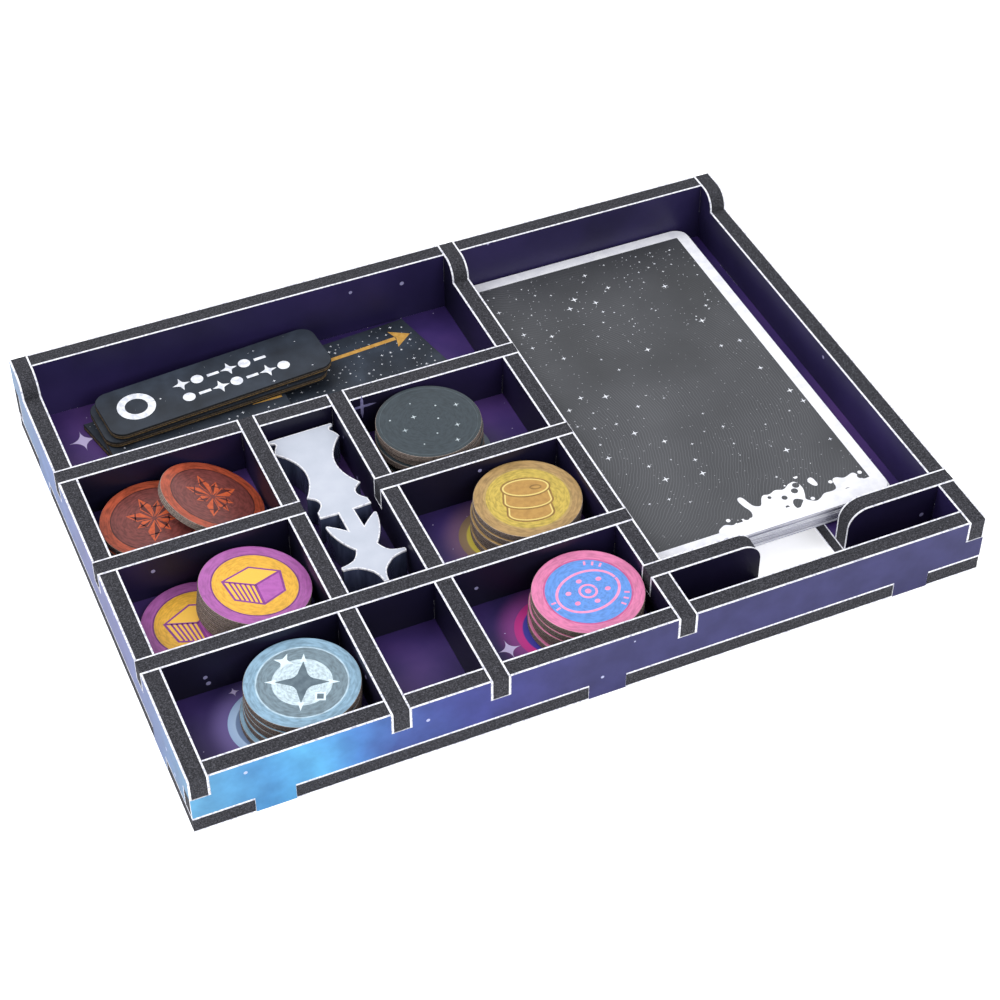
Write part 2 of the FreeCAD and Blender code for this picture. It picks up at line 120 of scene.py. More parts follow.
# %% Material helpers
def paint(code):
    """A colour given as six hex digits, as linear light."""
    channels = [int(code[at:at + 2], 16) / 255 for at in (0, 2, 4)]
    return (*[c / 12.92 if c <= 0.04045 else ((c + 0.055) / 1.055) ** 2.4 for c in channels], 1.0)


def add_node(tree, kind, output=0, sockets=None, **settings):
    """Adds a node, sets or links its inputs, and returns one of its outputs."""
    made = tree.nodes.new(kind)
    for name, value in settings.items():
        setattr(made, name, value)
    for key, value in (sockets or {}).items():
        if isinstance(value, bpy.types.NodeSocket):
            tree.links.new(value, made.inputs[key])
        else:
            made.inputs[key].default_value = value
    return made.outputs[output]


class Finish:
    """A material being made. Each method adds a node and gives back the socket it feeds."""

    def __init__(self, name, roughness, specular, coat=0.0, coat_roughness=0.1):
        self.material = bpy.data.materials.new(name)
        self.material.use_nodes = True
        self.tree = self.material.node_tree
        self.shader = self.tree.nodes["Principled BSDF"]
        for socket, value in (("Roughness", roughness), ("Specular IOR Level", specular),
                              ("Coat Weight", coat), ("Coat Roughness", coat_roughness)):
            self.shader.inputs[socket].default_value = value
        self.place = add_node(self.tree, "ShaderNodeTexCoord", "Object")

    def grain(self, size, detail=2.0, stretch=(1, 1, 1), source=None):
        """Smooth noise whose lumps are about that many millimetres across."""
        where = add_node(self.tree, "ShaderNodeMapping", sockets={
            "Vector": source or self.place, "Scale": tuple(1 / (size * MM * s) for s in stretch)})
        return add_node(self.tree, "ShaderNodeTexNoise", "Fac", {
            "Vector": where, "Scale": 1.0, "Detail": detail})

    def dots(self, spacing, radius):
        """1 inside round dots that are strewn about a spacing apart, 0 outside."""
        spread = add_node(self.tree, "ShaderNodeTexVoronoi", "Distance", {
            "Vector": self.place, "Scale": 1 / (spacing * MM)})
        return self.sum("LESS_THAN", spread, radius / spacing)

    def sum(self, operation, first, second=0.0, third=0.0):
        """One step of arithmetic."""
        return add_node(self.tree, "ShaderNodeMath", 0, {0: first, 1: second, 2: third},
                        operation=operation)

    def vector(self, operation, first, second=(0, 0, 0), output=0):
        """One step of arithmetic on places."""
        return add_node(self.tree, "ShaderNodeVectorMath", output, {0: first, 1: second}, operation=operation)

    def level_length(self, place):
        """How long a step is when it is seen from straight above."""
        return self.vector("LENGTH", self.vector("MULTIPLY", place, (1, 1, 0)), output=1)

    def part(self, place, axis):
        """One coordinate of a place."""
        return add_node(self.tree, "ShaderNodeSeparateXYZ", axis, {0: place})

    def shades(self, factor, stops, smooth="LINEAR"):
        """A run of colours: stops are (place from 0 to 1, colour)."""
        colour = add_node(self.tree, "ShaderNodeValToRGB", "Color", {"Fac": factor})
        ramp = colour.node.color_ramp
        ramp.interpolation = smooth
        while len(ramp.elements) < len(stops):
            ramp.elements.new(1.0)
        for element, (place, code) in zip(ramp.elements, stops):
            element.position = place
            element.color = paint(code)
        return colour

    def mix(self, factor, first, second, blend="MIX"):
        """Two colours mixed. A colour is a socket or six hex digits."""
        ends = [c if isinstance(c, bpy.types.NodeSocket) else paint(c) for c in (first, second)]
        return add_node(self.tree, "ShaderNodeMix", 2, {0: factor, 6: ends[0], 7: ends[1]},
                        data_type="RGBA", blend_type=blend)

    def rough(self, factor, low, high):
        """Roughness that wanders between two values."""
        spread = add_node(self.tree, "ShaderNodeMapRange", 0, {0: factor, 3: low, 4: high})
        self.tree.links.new(spread, self.shader.inputs["Roughness"])

    def done(self, colour, height, depth):
        """Links the colour and fine bumps, that many millimetres deep. A bare height is a grain's size."""
        if isinstance(height, float):
            height = self.grain(height)
        bump = add_node(self.tree, "ShaderNodeBump", "Normal", {
            "Height": height, "Distance": depth * MM, "Strength": 1.0})
        self.tree.links.new(bump, self.shader.inputs["Normal"])
        self.tree.links.new(colour, self.shader.inputs["Base Color"])
        return self.material


print("material helpers are ready")

# %% [markdown]
# ## Foam board: cut foam and cut paper
# Foam board is a black foam core between two thin sheets of paper. Where a blade has cut it, the foam is a
# matt charcoal full of tiny open cells, and each sheet of paper shows as a crisp white line. Both could be
# painted as stripes on one block. Here they are separate layers of mesh, so each needs only a plain
# material of its own.


# %% Cut foam and cut paper
def cut_foam():
    finish = Finish("cut_foam", 0.9, specular=0.25)
    lumps = finish.grain(0.34, detail=3.0)
    tone = finish.shades(lumps, [(0.30, "1f1f24"), (0.48, "323237"), (0.60, "424248"), (0.76, "62626a")])
    # The open cells are darker dots: painted shade inside the cells. The bump also presses them in as dents.
    pits = finish.dots(0.55, 0.11)
    colour = finish.mix(finish.sum("MULTIPLY", pits, 0.6), tone, "121216")
    return finish.done(colour, finish.sum("SUBTRACT", lumps, pits), 0.12)


def cut_paper():
    finish = Finish("cut_paper", 0.8, specular=0.3)
    fibre = finish.grain(0.7, detail=3.0)
    colour = finish.shades(fibre, [(0.30, "a9a9b8"), (0.44, "dcdce6"), (0.60, "f6f6fa")])
    return finish.done(colour, fibre, 0.05)


CUT_FOAM = cut_foam()
CUT_PAPER = cut_paper()
print("cut foam and cut paper")

# %% [markdown]
# ## Printed paper
# The faces of the board are printed with a night sky: almost black blue on the inner walls, violet on the
# floor, and a bright cloud that runs from sky blue to indigo along the outside. A picture file could hold
# this, but a few layers of noise over a run of colours give the same cloudy print at any size.


# %% Printed walls
PRINT_GRAIN, PRINT_DEPTH = 0.5, 0.006


def night_paper(name, deep, middle, light):
    """Dark paper with a faint cloud in it."""
    finish = Finish(name, 0.42, specular=0.35)
    drift = finish.grain(38.0, detail=4.0)
    colour = finish.shades(drift, [(0.34, deep), (0.52, middle), (0.72, light)])
    finish.rough(finish.grain(9.0), 0.38, 0.5)
    far_stars = finish.sum("MULTIPLY", finish.dots(9.5, 0.62), 0.8)
    return finish.done(finish.mix(far_stars, colour, "a9a6cf"), PRINT_GRAIN, PRINT_DEPTH)


def cloud_paper(name, axis, stops):
    """Bright printed cloud whose colours run along one axis of the tray."""
    finish = Finish(name, 0.42, specular=0.18)
    sway = 0.10
    run = add_node(finish.tree, "ShaderNodeMapRange", 0, {
        0: finish.part(finish.place, axis), 1: TRAY_LOW[axis], 2: TRAY_HIGH[axis]})
    drift = finish.sum("MULTIPLY_ADD", finish.grain(22.0, detail=3.0), sway, run)
    base = finish.shades(finish.sum("SUBTRACT", drift, sway / 2), stops)
    haze = finish.shades(finish.grain(7.0, detail=5.0), [(0.35, "c4c4cc"), (0.65, "ffffff")])
    clouded = finish.mix(0.6, base, haze, "MULTIPLY")
    far_stars = finish.sum("MULTIPLY", finish.dots(9.5, 0.55), 0.7)
    return finish.done(finish.mix(far_stars, clouded, "c9cdf0"), PRINT_GRAIN, PRINT_DEPTH)


WALL_PAPER = night_paper("wall_paper", "0e0c1f", "15122b", "221a40")
BACK_PAPER = night_paper("back_paper", "1c1738", "27204a", "33295a")
UNDER_PAPER = night_paper("under_paper", "15122b", "1e1838", "2a2148")
FRONT_CLOUD = cloud_paper("front_cloud", X, [
    (0.0, "5e9ec6"), (0.07, "4e92c6"), (0.14, "5cacdc"), (0.20, "4a80c2"), (0.25, "405698"), (0.32, "3b4288"),
    (0.39, "3a3a78"), (0.47, "383769"), (1.0, "373664")])
LEFT_CLOUD = cloud_paper("left_cloud", Y, [
    (0.0, "467ea6"), (0.14, "4d6a9e"), (0.35, "505794"), (0.55, "4e5690"), (0.75, "4c67a0"), (1.0, "4c7298")])
RIGHT_CLOUD = cloud_paper("right_cloud", Y, [
    (0.0, "2e2e4b"), (0.4, "333464"), (0.7, "32397d"), (1.0, "364b8b")])
BACK_CLOUD = cloud_paper("back_cloud", X, [
    (0.0, "548eb2"), (0.3, "364b8b"), (0.6, "343567"), (1.0, "2e2e4b")])
print("six printed papers")

# %% [markdown]
# The floor carries the most print: a soft disc in the middle of each token bay, a glow round it, a few
# drawn sparkles and a dust of stars. A disc is only a rule about distance from a point, and a sparkle is
# the curve where the roots of two lengths add up to one, so arithmetic nodes draw both with edges that
# stay sharp.


# %% Floor print
def bay_middle(left, right, front, back):
    """The middle of the bay between four walls."""
    across = (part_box(left)[1].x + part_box(right)[0].x) / 2
    along = (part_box(front)[1].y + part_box(back)[0].y) / 2
    return Vector((across, along, 0))


LEFT_BAYS = ("left_wall", "column_wall_left")
RIGHT_BAYS = ("column_wall_right", "card_wall")
ROWS = (("front_wall", "cross_wall_front"), ("cross_wall_front", "cross_wall_left"),
        ("cross_wall_left", "board_bay_wall"))
RIGHT_ROWS = (ROWS[0], ("cross_wall_front", "cross_wall_right"), ("cross_wall_right", "board_bay_wall"))
DISC_RADIUS, GLOW_RADIUS = 11.2, 17.0
BAY_PRINTS = [
    (LEFT_BAYS, ROWS[0], "7a6aa8",
     [(0.0, "5e7196"), (0.82, "6d82a6"), (0.84, "a9c2e2"), (1.0, "9cb6da")]),
    (LEFT_BAYS, ROWS[1], "7a3f96",
     [(0.0, "7a4392"), (0.80, "8a4d9e"), (0.83, "a55cae"), (1.0, "98509f")]),
    (LEFT_BAYS, ROWS[2], "7c4552",
     [(0.0, "6b3540"), (0.80, "7b3f44"), (0.83, "b3604a"), (1.0, "a45542")]),
    (RIGHT_BAYS, RIGHT_ROWS[0], "a24a9c",
     [(0.0, "38389a"), (0.80, "3f3b9c"), (0.83, "c8328c"), (1.0, "b93387")]),
    (RIGHT_BAYS, RIGHT_ROWS[1], "7a5a6a",
     [(0.0, "c8b848"), (0.80, "bcab46"), (0.83, "8a7256"), (1.0, "7d6650")]),
    (RIGHT_BAYS, RIGHT_ROWS[2], "443766",
     [(0.0, "454f5a"), (0.82, "4c5763"), (0.84, "75808c"), (1.0, "66717d")]),
]


def sparkle(finish, middle, reach):
    """1 inside a four-pointed star with thin arms, 0 outside. Its arms lie along X and Y."""
    local = finish.vector("SUBTRACT", finish.place, middle)
    roots = [finish.sum("POWER", finish.sum("ABSOLUTE", finish.part(local, axis)), 0.5) for axis in (X, Y)]
    return finish.sum("LESS_THAN", finish.sum("ADD", *roots), (reach * MM) ** 0.5)


def floor_paper():
    finish = Finish("floor_paper", 0.4, specular=0.35)
    drift = finish.grain(34.0, detail=4.0)
    colour = finish.shades(drift, [(0.30, "241a4a"), (0.48, "3a2864"), (0.62, "4d3472"), (0.78, "5d3d7c")])
    for columns, rows, glow, disc in BAY_PRINTS:
        step = finish.vector("SUBTRACT", finish.place, bay_middle(*columns, *rows))
        far = finish.sum("DIVIDE", finish.level_length(step), MM)
        halo = add_node(finish.tree, "ShaderNodeMapRange", 0, {
            0: far, 1: DISC_RADIUS, 2: GLOW_RADIUS, 3: 0.6, 4: 0.0}, interpolation_type="SMOOTHSTEP")
        colour = finish.mix(halo, colour, glow)
        inside = finish.sum("LESS_THAN", far, DISC_RADIUS)
        colour = finish.mix(inside, colour, finish.shades(finish.sum("DIVIDE", far, DISC_RADIUS), disc))
    dust = finish.dots(4.3, 0.16)
    colour = finish.mix(finish.sum("MULTIPLY", dust, 0.75), colour, "cfc4ee")
    for middle, reach in SPARKLES:
        colour = finish.mix(sparkle(finish, middle, reach), colour, "cdbfe8")
    return finish.done(colour, PRINT_GRAIN, PRINT_DEPTH)


bay_corner = Vector((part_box("left_wall")[1].x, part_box("board_bay_wall")[1].y, 0))
pink_middle = bay_middle(*RIGHT_BAYS, *RIGHT_ROWS[0])
blue_middle = bay_middle(*LEFT_BAYS, *ROWS[0])
SPARKLES = [
    (bay_corner + Vector((7.7, 22.5, 0)) * MM, 4.3),
    (pink_middle + Vector((-14.2, -1.5, 0)) * MM, 3.3),
    (blue_middle + Vector((-6.1, 12.4, 0)) * MM, 1.6),
]
FLOOR_PAPER = floor_paper()
print("floor print with", len(BAY_PRINTS), "discs and", len(SPARKLES), "sparkles")

# %% [markdown]
# ## Panels
# Each panel is one outline, cut through foam board five millimetres thick, with notches where it slots
# over its neighbours. The outline is read from the CAD panel, so every notch is where it has to be. It
# could be extruded as a plain block, but a real edge has four parts: rounded paper, a step down to the
# foam, slightly rough foam, and paper again. So the outline is repeated at several depths, each drawn in
# by a small amount, and the rings are joined like the hoops of a barrel. The result is one closed skin.

# %% Outlines read from the CAD
OUTLINE_STEP = 1.6


def opened(mesh):
    """A copy of a mesh whose corners and faces can be worked on."""
    shape = bmesh.new()
    shape.from_mesh(mesh)
    return shape


def closed(shape, mesh):
    """Writes worked faces back into a mesh."""
    shape.to_mesh(mesh)
    shape.free()
    return mesh


def rims(node, axis):
    """Closed loops of points round the side of a CAD node that looks along the axis, board on their left."""
    shape = opened(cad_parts[node].data)
    bmesh.ops.remove_doubles(shape, verts=shape.verts, dist=0.001 * MM)
    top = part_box(node)[1][axis]
    cap = {f for f in shape.faces if f.normal[axis] > 0.99 and abs(f.verts[0].co[axis] - top) < 0.01 * MM}
    follow = {}
    for face in cap:
        for loop in face.loops:
            if len(cap.intersection(loop.edge.link_faces)) == 1:
                follow[loop.vert] = loop.link_loop_next.vert
    loops = []
    while follow:
        start = next(iter(follow))
        points = [start.co.copy()]
        after = follow.pop(start)
        while after is not start:
            points.append(after.co.copy())
            after = follow.pop(after)
        loops.append(points)
    shape.free()
    return sorted(loops, key=lambda points: tuple(min(points, key=lambda p: (p.x, p.y, p.z))))


def split_long_runs(points, step):
    """The same loop, with points added along its straight runs."""
    finer = []
    for start, end in zip(points, points[1:] + points[:1]):
        parts = max(1, round((end - start).length / (step * MM)))
        finer += [start.lerp(end, part / parts) for part in range(parts)]
    return finer


print("the base has", [len(loop) for loop in rims("base_panel", Z)], "corners in its outlines")


# %% Rings joined into a skin
def inward(points, axis):
    """At each point, the step that draws the loop in by one unit on both sides of it."""
    out = Vector([float(axis == n) for n in range(3)])
    steps = []
    for before, point, after in zip(points[-1:] + points[:-1], points, points[1:] + points[:1]):
        first = out.cross((point - before).normalized())
        second = out.cross((after - point).normalized())
        steps.append((first + second) / max(0.3, 1 + first.dot(second)))
    return steps


def skin(name, loops, axis, rings, bands, caps, roughen=None):
    """A closed skin round the loops. A ring is (place along the axis, draw-in) in metres, a band of faces
    joins each ring to the next, and two caps close the ends. Bands and caps name their material's slot."""
    shape = bmesh.new()
    ends = [[], []]
    for points in loops:
        steps = inward(points, axis)
        hoops = []
        for number, (place, draw) in enumerate(rings):
            hoop = []
            for point, step in zip(points, steps):
                spot = point + step * (draw + (roughen(number, point) if roughen else 0.0))
                spot[axis] = place
                hoop.append(shape.verts.new(spot))
            hoops.append(hoop)
        for below, above, slot in zip(hoops, hoops[1:], bands):
            for a in range(len(points)):
                b = (a + 1) % len(points)
                shape.faces.new((below[a], below[b], above[b], above[a])).material_index = slot
        for end, hoop in zip(ends, (hoops[0], hoops[-1])):
            end += [shape.edges.get((hoop[a], hoop[a - 1])) for a in range(len(hoop))]
    for end, slot, way in zip(ends, caps, (-1, 1)):
        made = bmesh.ops.triangle_fill(shape, edges=end, use_beauty=True)["geom"]
        for face in [part for part in made if isinstance(part, bmesh.types.BMFace)]:
            face.normal_update()
            if face.normal[axis] * way < 0:
                face.normal_flip()
            face.material_index = slot
    return closed(shape, bpy.data.meshes.new(name))


def place_piece(name, mesh, materials, node, body=None):
    """Puts a finished mesh in the scene, riding on its node's own body unless another is named."""
    for material in materials:
        mesh.materials.append(material)
    piece = show(bpy.data.objects.new(name, mesh))
    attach(piece, body or node + "_body")
    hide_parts(node)
    return piece


print("outlines can be joined into skins")

# %% Foam board panels
PAPER = 0.5 * MM
ROUND = 0.06 * MM
SUNK = 0.10 * MM
ROUGH = 0.07 * MM
FOAM_RINGS = 4


def foam_board(node, axis, low_print, high_print):
    """One panel: a print on each side, and the foam showing between two lines of cut paper."""
    low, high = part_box(node)[0][axis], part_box(node)[1][axis]
    foam = [low + PAPER + (high - low - 2 * PAPER) * part / FOAM_RINGS for part in range(FOAM_RINGS + 1)]
    rings = [(low, ROUND), (low + ROUND, 0.0), (low + PAPER, 0.0)]
    rings += [(place, SUNK) for place in foam]
    rings += [(high - PAPER, 0.0), (high - ROUND, 0.0), (high, ROUND)]
    first, last = 3, 3 + FOAM_RINGS
    bands = [0 if number < first - 1 or number > last else 1 for number in range(len(rings) - 1)]

    def roughen(number, point):
        amount = ROUGH if first <= number <= last else 0.25 * ROUGH * (1 < number < len(rings) - 2)
        return amount * noise.noise(point / (1.3 * MM) + Vector((number * 3.7, 0, 0)))

    loops = [split_long_runs(points, OUTLINE_STEP) for points in rims(node, axis)]
    name = node + "_board"
    mesh = skin(name, loops, axis, rings, bands, (2, 3), roughen)
    return place_piece(name, mesh, (CUT_PAPER, CUT_FOAM, low_print, high_print), node, "tray")


PANELS = [
    ("base_panel", Z, UNDER_PAPER, FLOOR_PAPER),
    ("front_wall", Y, FRONT_CLOUD, WALL_PAPER),
    ("back_wall", Y, BACK_PAPER, BACK_CLOUD),
    ("left_wall", X, LEFT_CLOUD, WALL_PAPER),
    ("right_wall", X, BACK_PAPER, RIGHT_CLOUD),
]
PANELS += [(node, X, WALL_PAPER, WALL_PAPER) for node in (
    "card_wall", "column_wall_left", "column_wall_right")]
PANELS += [(node, Y, WALL_PAPER, WALL_PAPER) for node in (
    "board_bay_wall", "cross_wall_front", "cross_wall_left", "cross_wall_right", "card_stop_left",
    "card_stop_right")]
boards = [foam_board(*panel) for panel in PANELS]
print(len(boards), "panels,", sum(len(board.data.polygons) for board in boards), "faces")

# %% [markdown]
# ## Geometry Nodes helpers
# The tokens, the deck and the printed stars all repeat. Geometry Nodes is made for that: one tree holds
# the rule, and its named inputs hold the sizes. The helpers below start a tree, give a plain object such a
# tree, read the finished mesh back and throw the modifier away, so that nothing live is left on a piece.


# %% Geometry Nodes helpers
def new_tree(name, inputs):
    """A tree with named inputs and one geometry output."""
    tree = bpy.data.node_groups.new(name, "GeometryNodeTree")
    for label, kind in inputs:
        tree.interface.new_socket(label, in_out="INPUT", socket_type="NodeSocket" + kind)
    tree.interface.new_socket("Geometry", in_out="OUTPUT", socket_type="NodeSocketGeometry")
    return tree, tree.nodes.new("NodeGroupInput").outputs


def close_tree(tree, geometry):
    """Links the finished geometry to the tree's output."""
    tree.links.new(geometry, tree.nodes.new("NodeGroupOutput").inputs[0])


def grow(tree, values, start=None):
    """Runs a tree once, on an empty mesh or a given one, and returns the plain mesh that it makes."""
    carrier = show(bpy.data.objects.new("carrier", start or bpy.data.meshes.new("carrier")))
    modifier = carrier.modifiers.new("tree", "NODES")
    modifier.node_group = tree
    for item in tree.interface.items_tree:
        if item.in_out == "INPUT" and item.name in values:
            modifier[item.identifier] = values[item.name]
    view_of_all = bpy.context.evaluated_depsgraph_get()
    mesh = bpy.data.meshes.new_from_object(carrier.evaluated_get(view_of_all))
    carrier.modifiers.remove(modifier)
    bpy.data.objects.remove(carrier)
    return mesh


def math_node(tree, operation, first, second=0.0):
    """One step of arithmetic in a tree."""
    return add_node(tree, "ShaderNodeMath", 0, {0: first, 1: second}, operation=operation)


print("tree helpers are ready")

# %% [markdown]
# ## Tokens
# A token is a disc of thick card, 28 mm across, pressed from a few plies. Its two faces are printed and
# its side shows the plies as faint grooves. It could be a cylinder, but its side follows a rule: the
# radius dips a little wherever one ply meets the next, and at both rims. The tree therefore starts from a
# cylinder with many rings down its side and draws each ring in by that rule. It also stores every point's
# place on its own token, so a print keeps its centre wherever the token lies, even when it leans.

# %% Token tree
TOKEN_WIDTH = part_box("slate_token_1")[1].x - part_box("slate_token_1")[0].x
TOKEN_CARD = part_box("slate_token_1")[1].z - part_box("slate_token_1")[0].z


def token_tree():
    tree, given = new_tree("token_plies", [
        ("Radius", "Float"), ("Card", "Float"), ("Plies", "Int"), ("Dip", "Float"), ("Print", "Material"),
        ("Edge", "Material")])
    disc = tree.nodes.new("GeometryNodeMeshCylinder")
    for socket, value in (("Vertices", 80), ("Side Segments", 15), ("Fill Segments", 1)):
        disc.inputs[socket].default_value = value
    tree.links.new(given["Radius"], disc.inputs["Radius"])
    tree.links.new(given["Card"], disc.inputs["Depth"])
    place = add_node(tree, "GeometryNodeInputPosition")
    height = add_node(tree, "ShaderNodeSeparateXYZ", "Z", {0: place})
    share = math_node(tree, "ADD", math_node(tree, "DIVIDE", height, given["Card"]), 0.5)
    turns = math_node(tree, "MULTIPLY", math_node(tree, "MULTIPLY", share, given["Plies"]), math.pi)
    joint = math_node(tree, "POWER", math_node(tree, "ABSOLUTE", math_node(tree, "COSINE", turns)), 7.0)
    dip = math_node(tree, "DIVIDE", math_node(tree, "MULTIPLY", joint, given["Dip"]), given["Radius"])
    level = add_node(tree, "ShaderNodeVectorMath", 0, {0: place, 1: (-1, -1, 0)}, operation="MULTIPLY")
    drawn = add_node(tree, "ShaderNodeVectorMath", 0, {0: level, "Scale": dip}, operation="SCALE")
    shaped = add_node(tree, "GeometryNodeSetPosition", 0, {
        "Geometry": disc.outputs["Mesh"], "Offset": drawn})
    kept = add_node(tree, "GeometryNodeStoreNamedAttribute", 0, {
        "Geometry": shaped, "Name": "place_on_token", "Value": place},
        data_type="FLOAT_VECTOR", domain="POINT")
    inked = add_node(tree, "GeometryNodeSetMaterial", 0, {"Geometry": kept, "Material": given["Print"]})
    sided = add_node(tree, "GeometryNodeSetMaterial", 0, {
        "Geometry": inked, "Selection": disc.outputs["Side"], "Material": given["Edge"]})
    smooth = add_node(tree, "GeometryNodeSetShadeSmooth", 0, {
        "Geometry": add_node(tree, "GeometryNodeRealizeInstances", 0, {0: sided}),
        "Selection": disc.outputs["Side"]})
    close_tree(tree, smooth)
    return tree


TOKEN_TREE = token_tree()
print("tokens are", round(TOKEN_WIDTH / MM, 2), "mm across and", round(TOKEN_CARD / MM, 2), "mm thick")

# %% [markdown]
# ## Token prints
# Every token has a coloured rim, a thin drawn line and a round field with a plain picture in it. The rings
# are a run of colours over the distance from the middle, read from the stored place. The ink is a little
# uneven, as if brushed round the disc, so a noise that is stretched along the turn tints it.


# %% Token print materials
INK_ROUGHNESS, INK_SPECULAR = 0.34, 0.45
CARD_PLIES = 3


def on_token(finish):
    """A point's stored place on its own token."""
    return add_node(finish.tree, "ShaderNodeAttribute", "Vector", attribute_name="place_on_token")


def token_print(name, rings, brushed=0.5):
    """Rings of ink. Each ring is (radius in millimetres where it starts, colour)."""
    finish = Finish(name, INK_ROUGHNESS, INK_SPECULAR)
    spot = on_token(finish)
    far = finish.level_length(spot)
    turn = finish.sum("ARCTAN2", finish.part(spot, Y), finish.part(spot, X))
    reach = finish.sum("DIVIDE", far, TOKEN_WIDTH / 2)
    base = finish.shades(reach, [(start * MM / (TOKEN_WIDTH / 2), code) for start, code in rings], "CONSTANT")
    polar = add_node(finish.tree, "ShaderNodeCombineXYZ", 0, {
        0: finish.sum("MULTIPLY", turn, 9.0 * MM), 1: finish.sum("MULTIPLY", far, 3.0),
        2: finish.part(spot, Z)})
    strokes = finish.shades(finish.grain(1.5, detail=4.0, source=polar), [(0.32, "b4b4b4"), (0.62, "ffffff")])
    return finish.done(finish.mix(brushed, base, strokes, "MULTIPLY"), 0.6, 0.01)


def card_edge():
    """Pressed grey-brown card, with a lighter line wherever two plies meet."""
    finish = Finish("card_edge", 0.85, specular=0.2)
    turns = finish.sum("MULTIPLY", finish.part(on_token(finish), Z), math.pi * 2 * CARD_PLIES / TOKEN_CARD)
    layer = finish.sum("ABSOLUTE", finish.sum("COSINE", turns))
    base = finish.shades(layer, [(0.0, "6a5a55"), (0.75, "7d6c65"), (0.93, "b3a59b"), (1.0, "c9bdb2")])
    fibre = finish.shades(finish.grain(0.45, detail=4.0), [(0.3, "9a9a9a"), (0.65, "ffffff")])
    return finish.done(finish.mix(0.8, base, fibre, "MULTIPLY"), 0.4, 0.04)


def ink(name, middle, other=None, roughness=INK_ROUGHNESS):
    """Ink for a small picture: one colour, a little uneven."""
    finish = Finish(name, roughness, INK_SPECULAR)
    colour = finish.shades(finish.grain(1.4, detail=3.0), [(0.3, other or middle), (0.6, middle)])
    return finish.done(colour, 0.6, 0.01)


TOKEN_PRINTS = {
    "orange": token_print("orange_print", [(0, "80423e"), (10.9, "542a28"), (11.25, "bb5539")], 0.9),
    "purple": token_print("purple_print", [(0, "efb642"), (10.6, "7b3d7e"), (10.95, "b062ab")]),
    "blue": token_print("blue_print", [
        (0, "cfe2ec"), (7.2, "7c909c"), (10.7, "bcd6e6"), (11.05, "8fb2ca")], 0.7),
    "slate": token_print("slate_print", [(0, "39434a"), (12.8, "505b62"), (13.0, "384248")], 0.6),
    "gold": token_print("gold_print", [(0, "cdb252"), (10.7, "b89a60"), (11.3, "b4925f")], 0.7),
    "pink": token_print("pink_print", [(0, "6698e4"), (10.6, "cc6096"), (11.0, "e080ac")]),
}
CARD_EDGE = card_edge()
print(len(TOKEN_PRINTS), "token prints")

# %% [markdown]
# ## Small pictures
# The pictures on the tokens are plain signs: a block, a drum, a star, crystals, an oval and a few dots.
# They could be painted in the shader, but an edge drawn by geometry is crisp at any distance. Each sign is
# a set of flat shapes, cut as thin as a layer of ink and laid on the card. Their points come from a few
# rules, for an ellipse, a star, a stripe, and so on.

# %% Drawing tools
INK = 0.004


def ellipse(width, height, middle=(0, 0), steps=40, start=0.0, sweep=360.0):
    """Points round an ellipse, or round a part of it, in millimetres."""
    full = sweep >= 360.0
    turns = [math.radians(start + sweep * n / (steps if full else steps - 1)) for n in range(steps)]
    return [(middle[0] + width / 2 * math.cos(t), middle[1] + height / 2 * math.sin(t)) for t in turns]


def hollow_star(reach, waist, middle=(0, 0), steps=7, turn=90.0):
    """A four-pointed star whose sides curve inwards from tip to tip."""
    outline = []
    for tip in range(4):
        for step in range(steps):
            share = step / steps
            bend = (2 * share - 1) ** 2
            radius = waist + (reach - waist) * bend ** 1.6
            angle = math.radians(turn + 90.0 * (tip + share))
            outline.append((middle[0] + radius * math.cos(angle), middle[1] + radius * math.sin(angle)))
    return outline


def stroke(start, end, width):
    """A straight bar from one point to another."""
    along = (Vector(end) - Vector(start)).normalized() * width / 2
    side = Vector((-along.y, along.x))
    corners = [Vector(start) - side, Vector(end) - side, Vector(end) + side, Vector(start) + side]
    return [tuple(corner) for corner in corners]


def arc_stroke(points, width):
    """A bar of even width along a line of points."""
    line = [Vector(point) for point in points]
    left, right = [], []
    for before, point, after in zip(line[:1] + line[:-1], line, line[1:] + line[-1:]):
        way = (after - before).normalized() * width / 2
        left.append(tuple(point + Vector((-way.y, way.x))))
        right.append(tuple(point + Vector((way.y, -way.x))))
    return right + left[::-1]


def lay_ink(shape, points, slot, top, layer, matrix=Matrix()):
    """Adds a flat closed shape as thick as its layers of ink, standing on the level called top."""
    flat = [Vector((x * MM, y * MM, 0)) for x, y in points]
    area = sum(a.x * b.y - b.x * a.y for a, b in zip(flat, flat[1:] + flat[:1]))
    flat = flat if area > 0 else flat[::-1]
    lower = [shape.verts.new(matrix @ (p + Vector((0, 0, top)))) for p in flat]
    upper = [shape.verts.new(matrix @ (p + Vector((0, 0, top + layer * INK * MM)))) for p in flat]
    faces = [shape.faces.new(upper), shape.faces.new(lower[::-1])]
    for a in range(len(flat)):
        b = (a + 1) % len(flat)
        faces.append(shape.faces.new((lower[a], lower[b], upper[b], upper[a])))
    for face in faces:
        face.normal_update()
        face.material_index = slot
    bmesh.ops.triangulate(shape, faces=faces[:2], ngon_method="EAR_CLIP")


print("ink is", INK, "mm thick")


# %% Signs
def turned_points(points, degrees):
    turn = Matrix.Rotation(math.radians(degrees), 2)
    return [tuple(turn @ Vector(point)) for point in points]


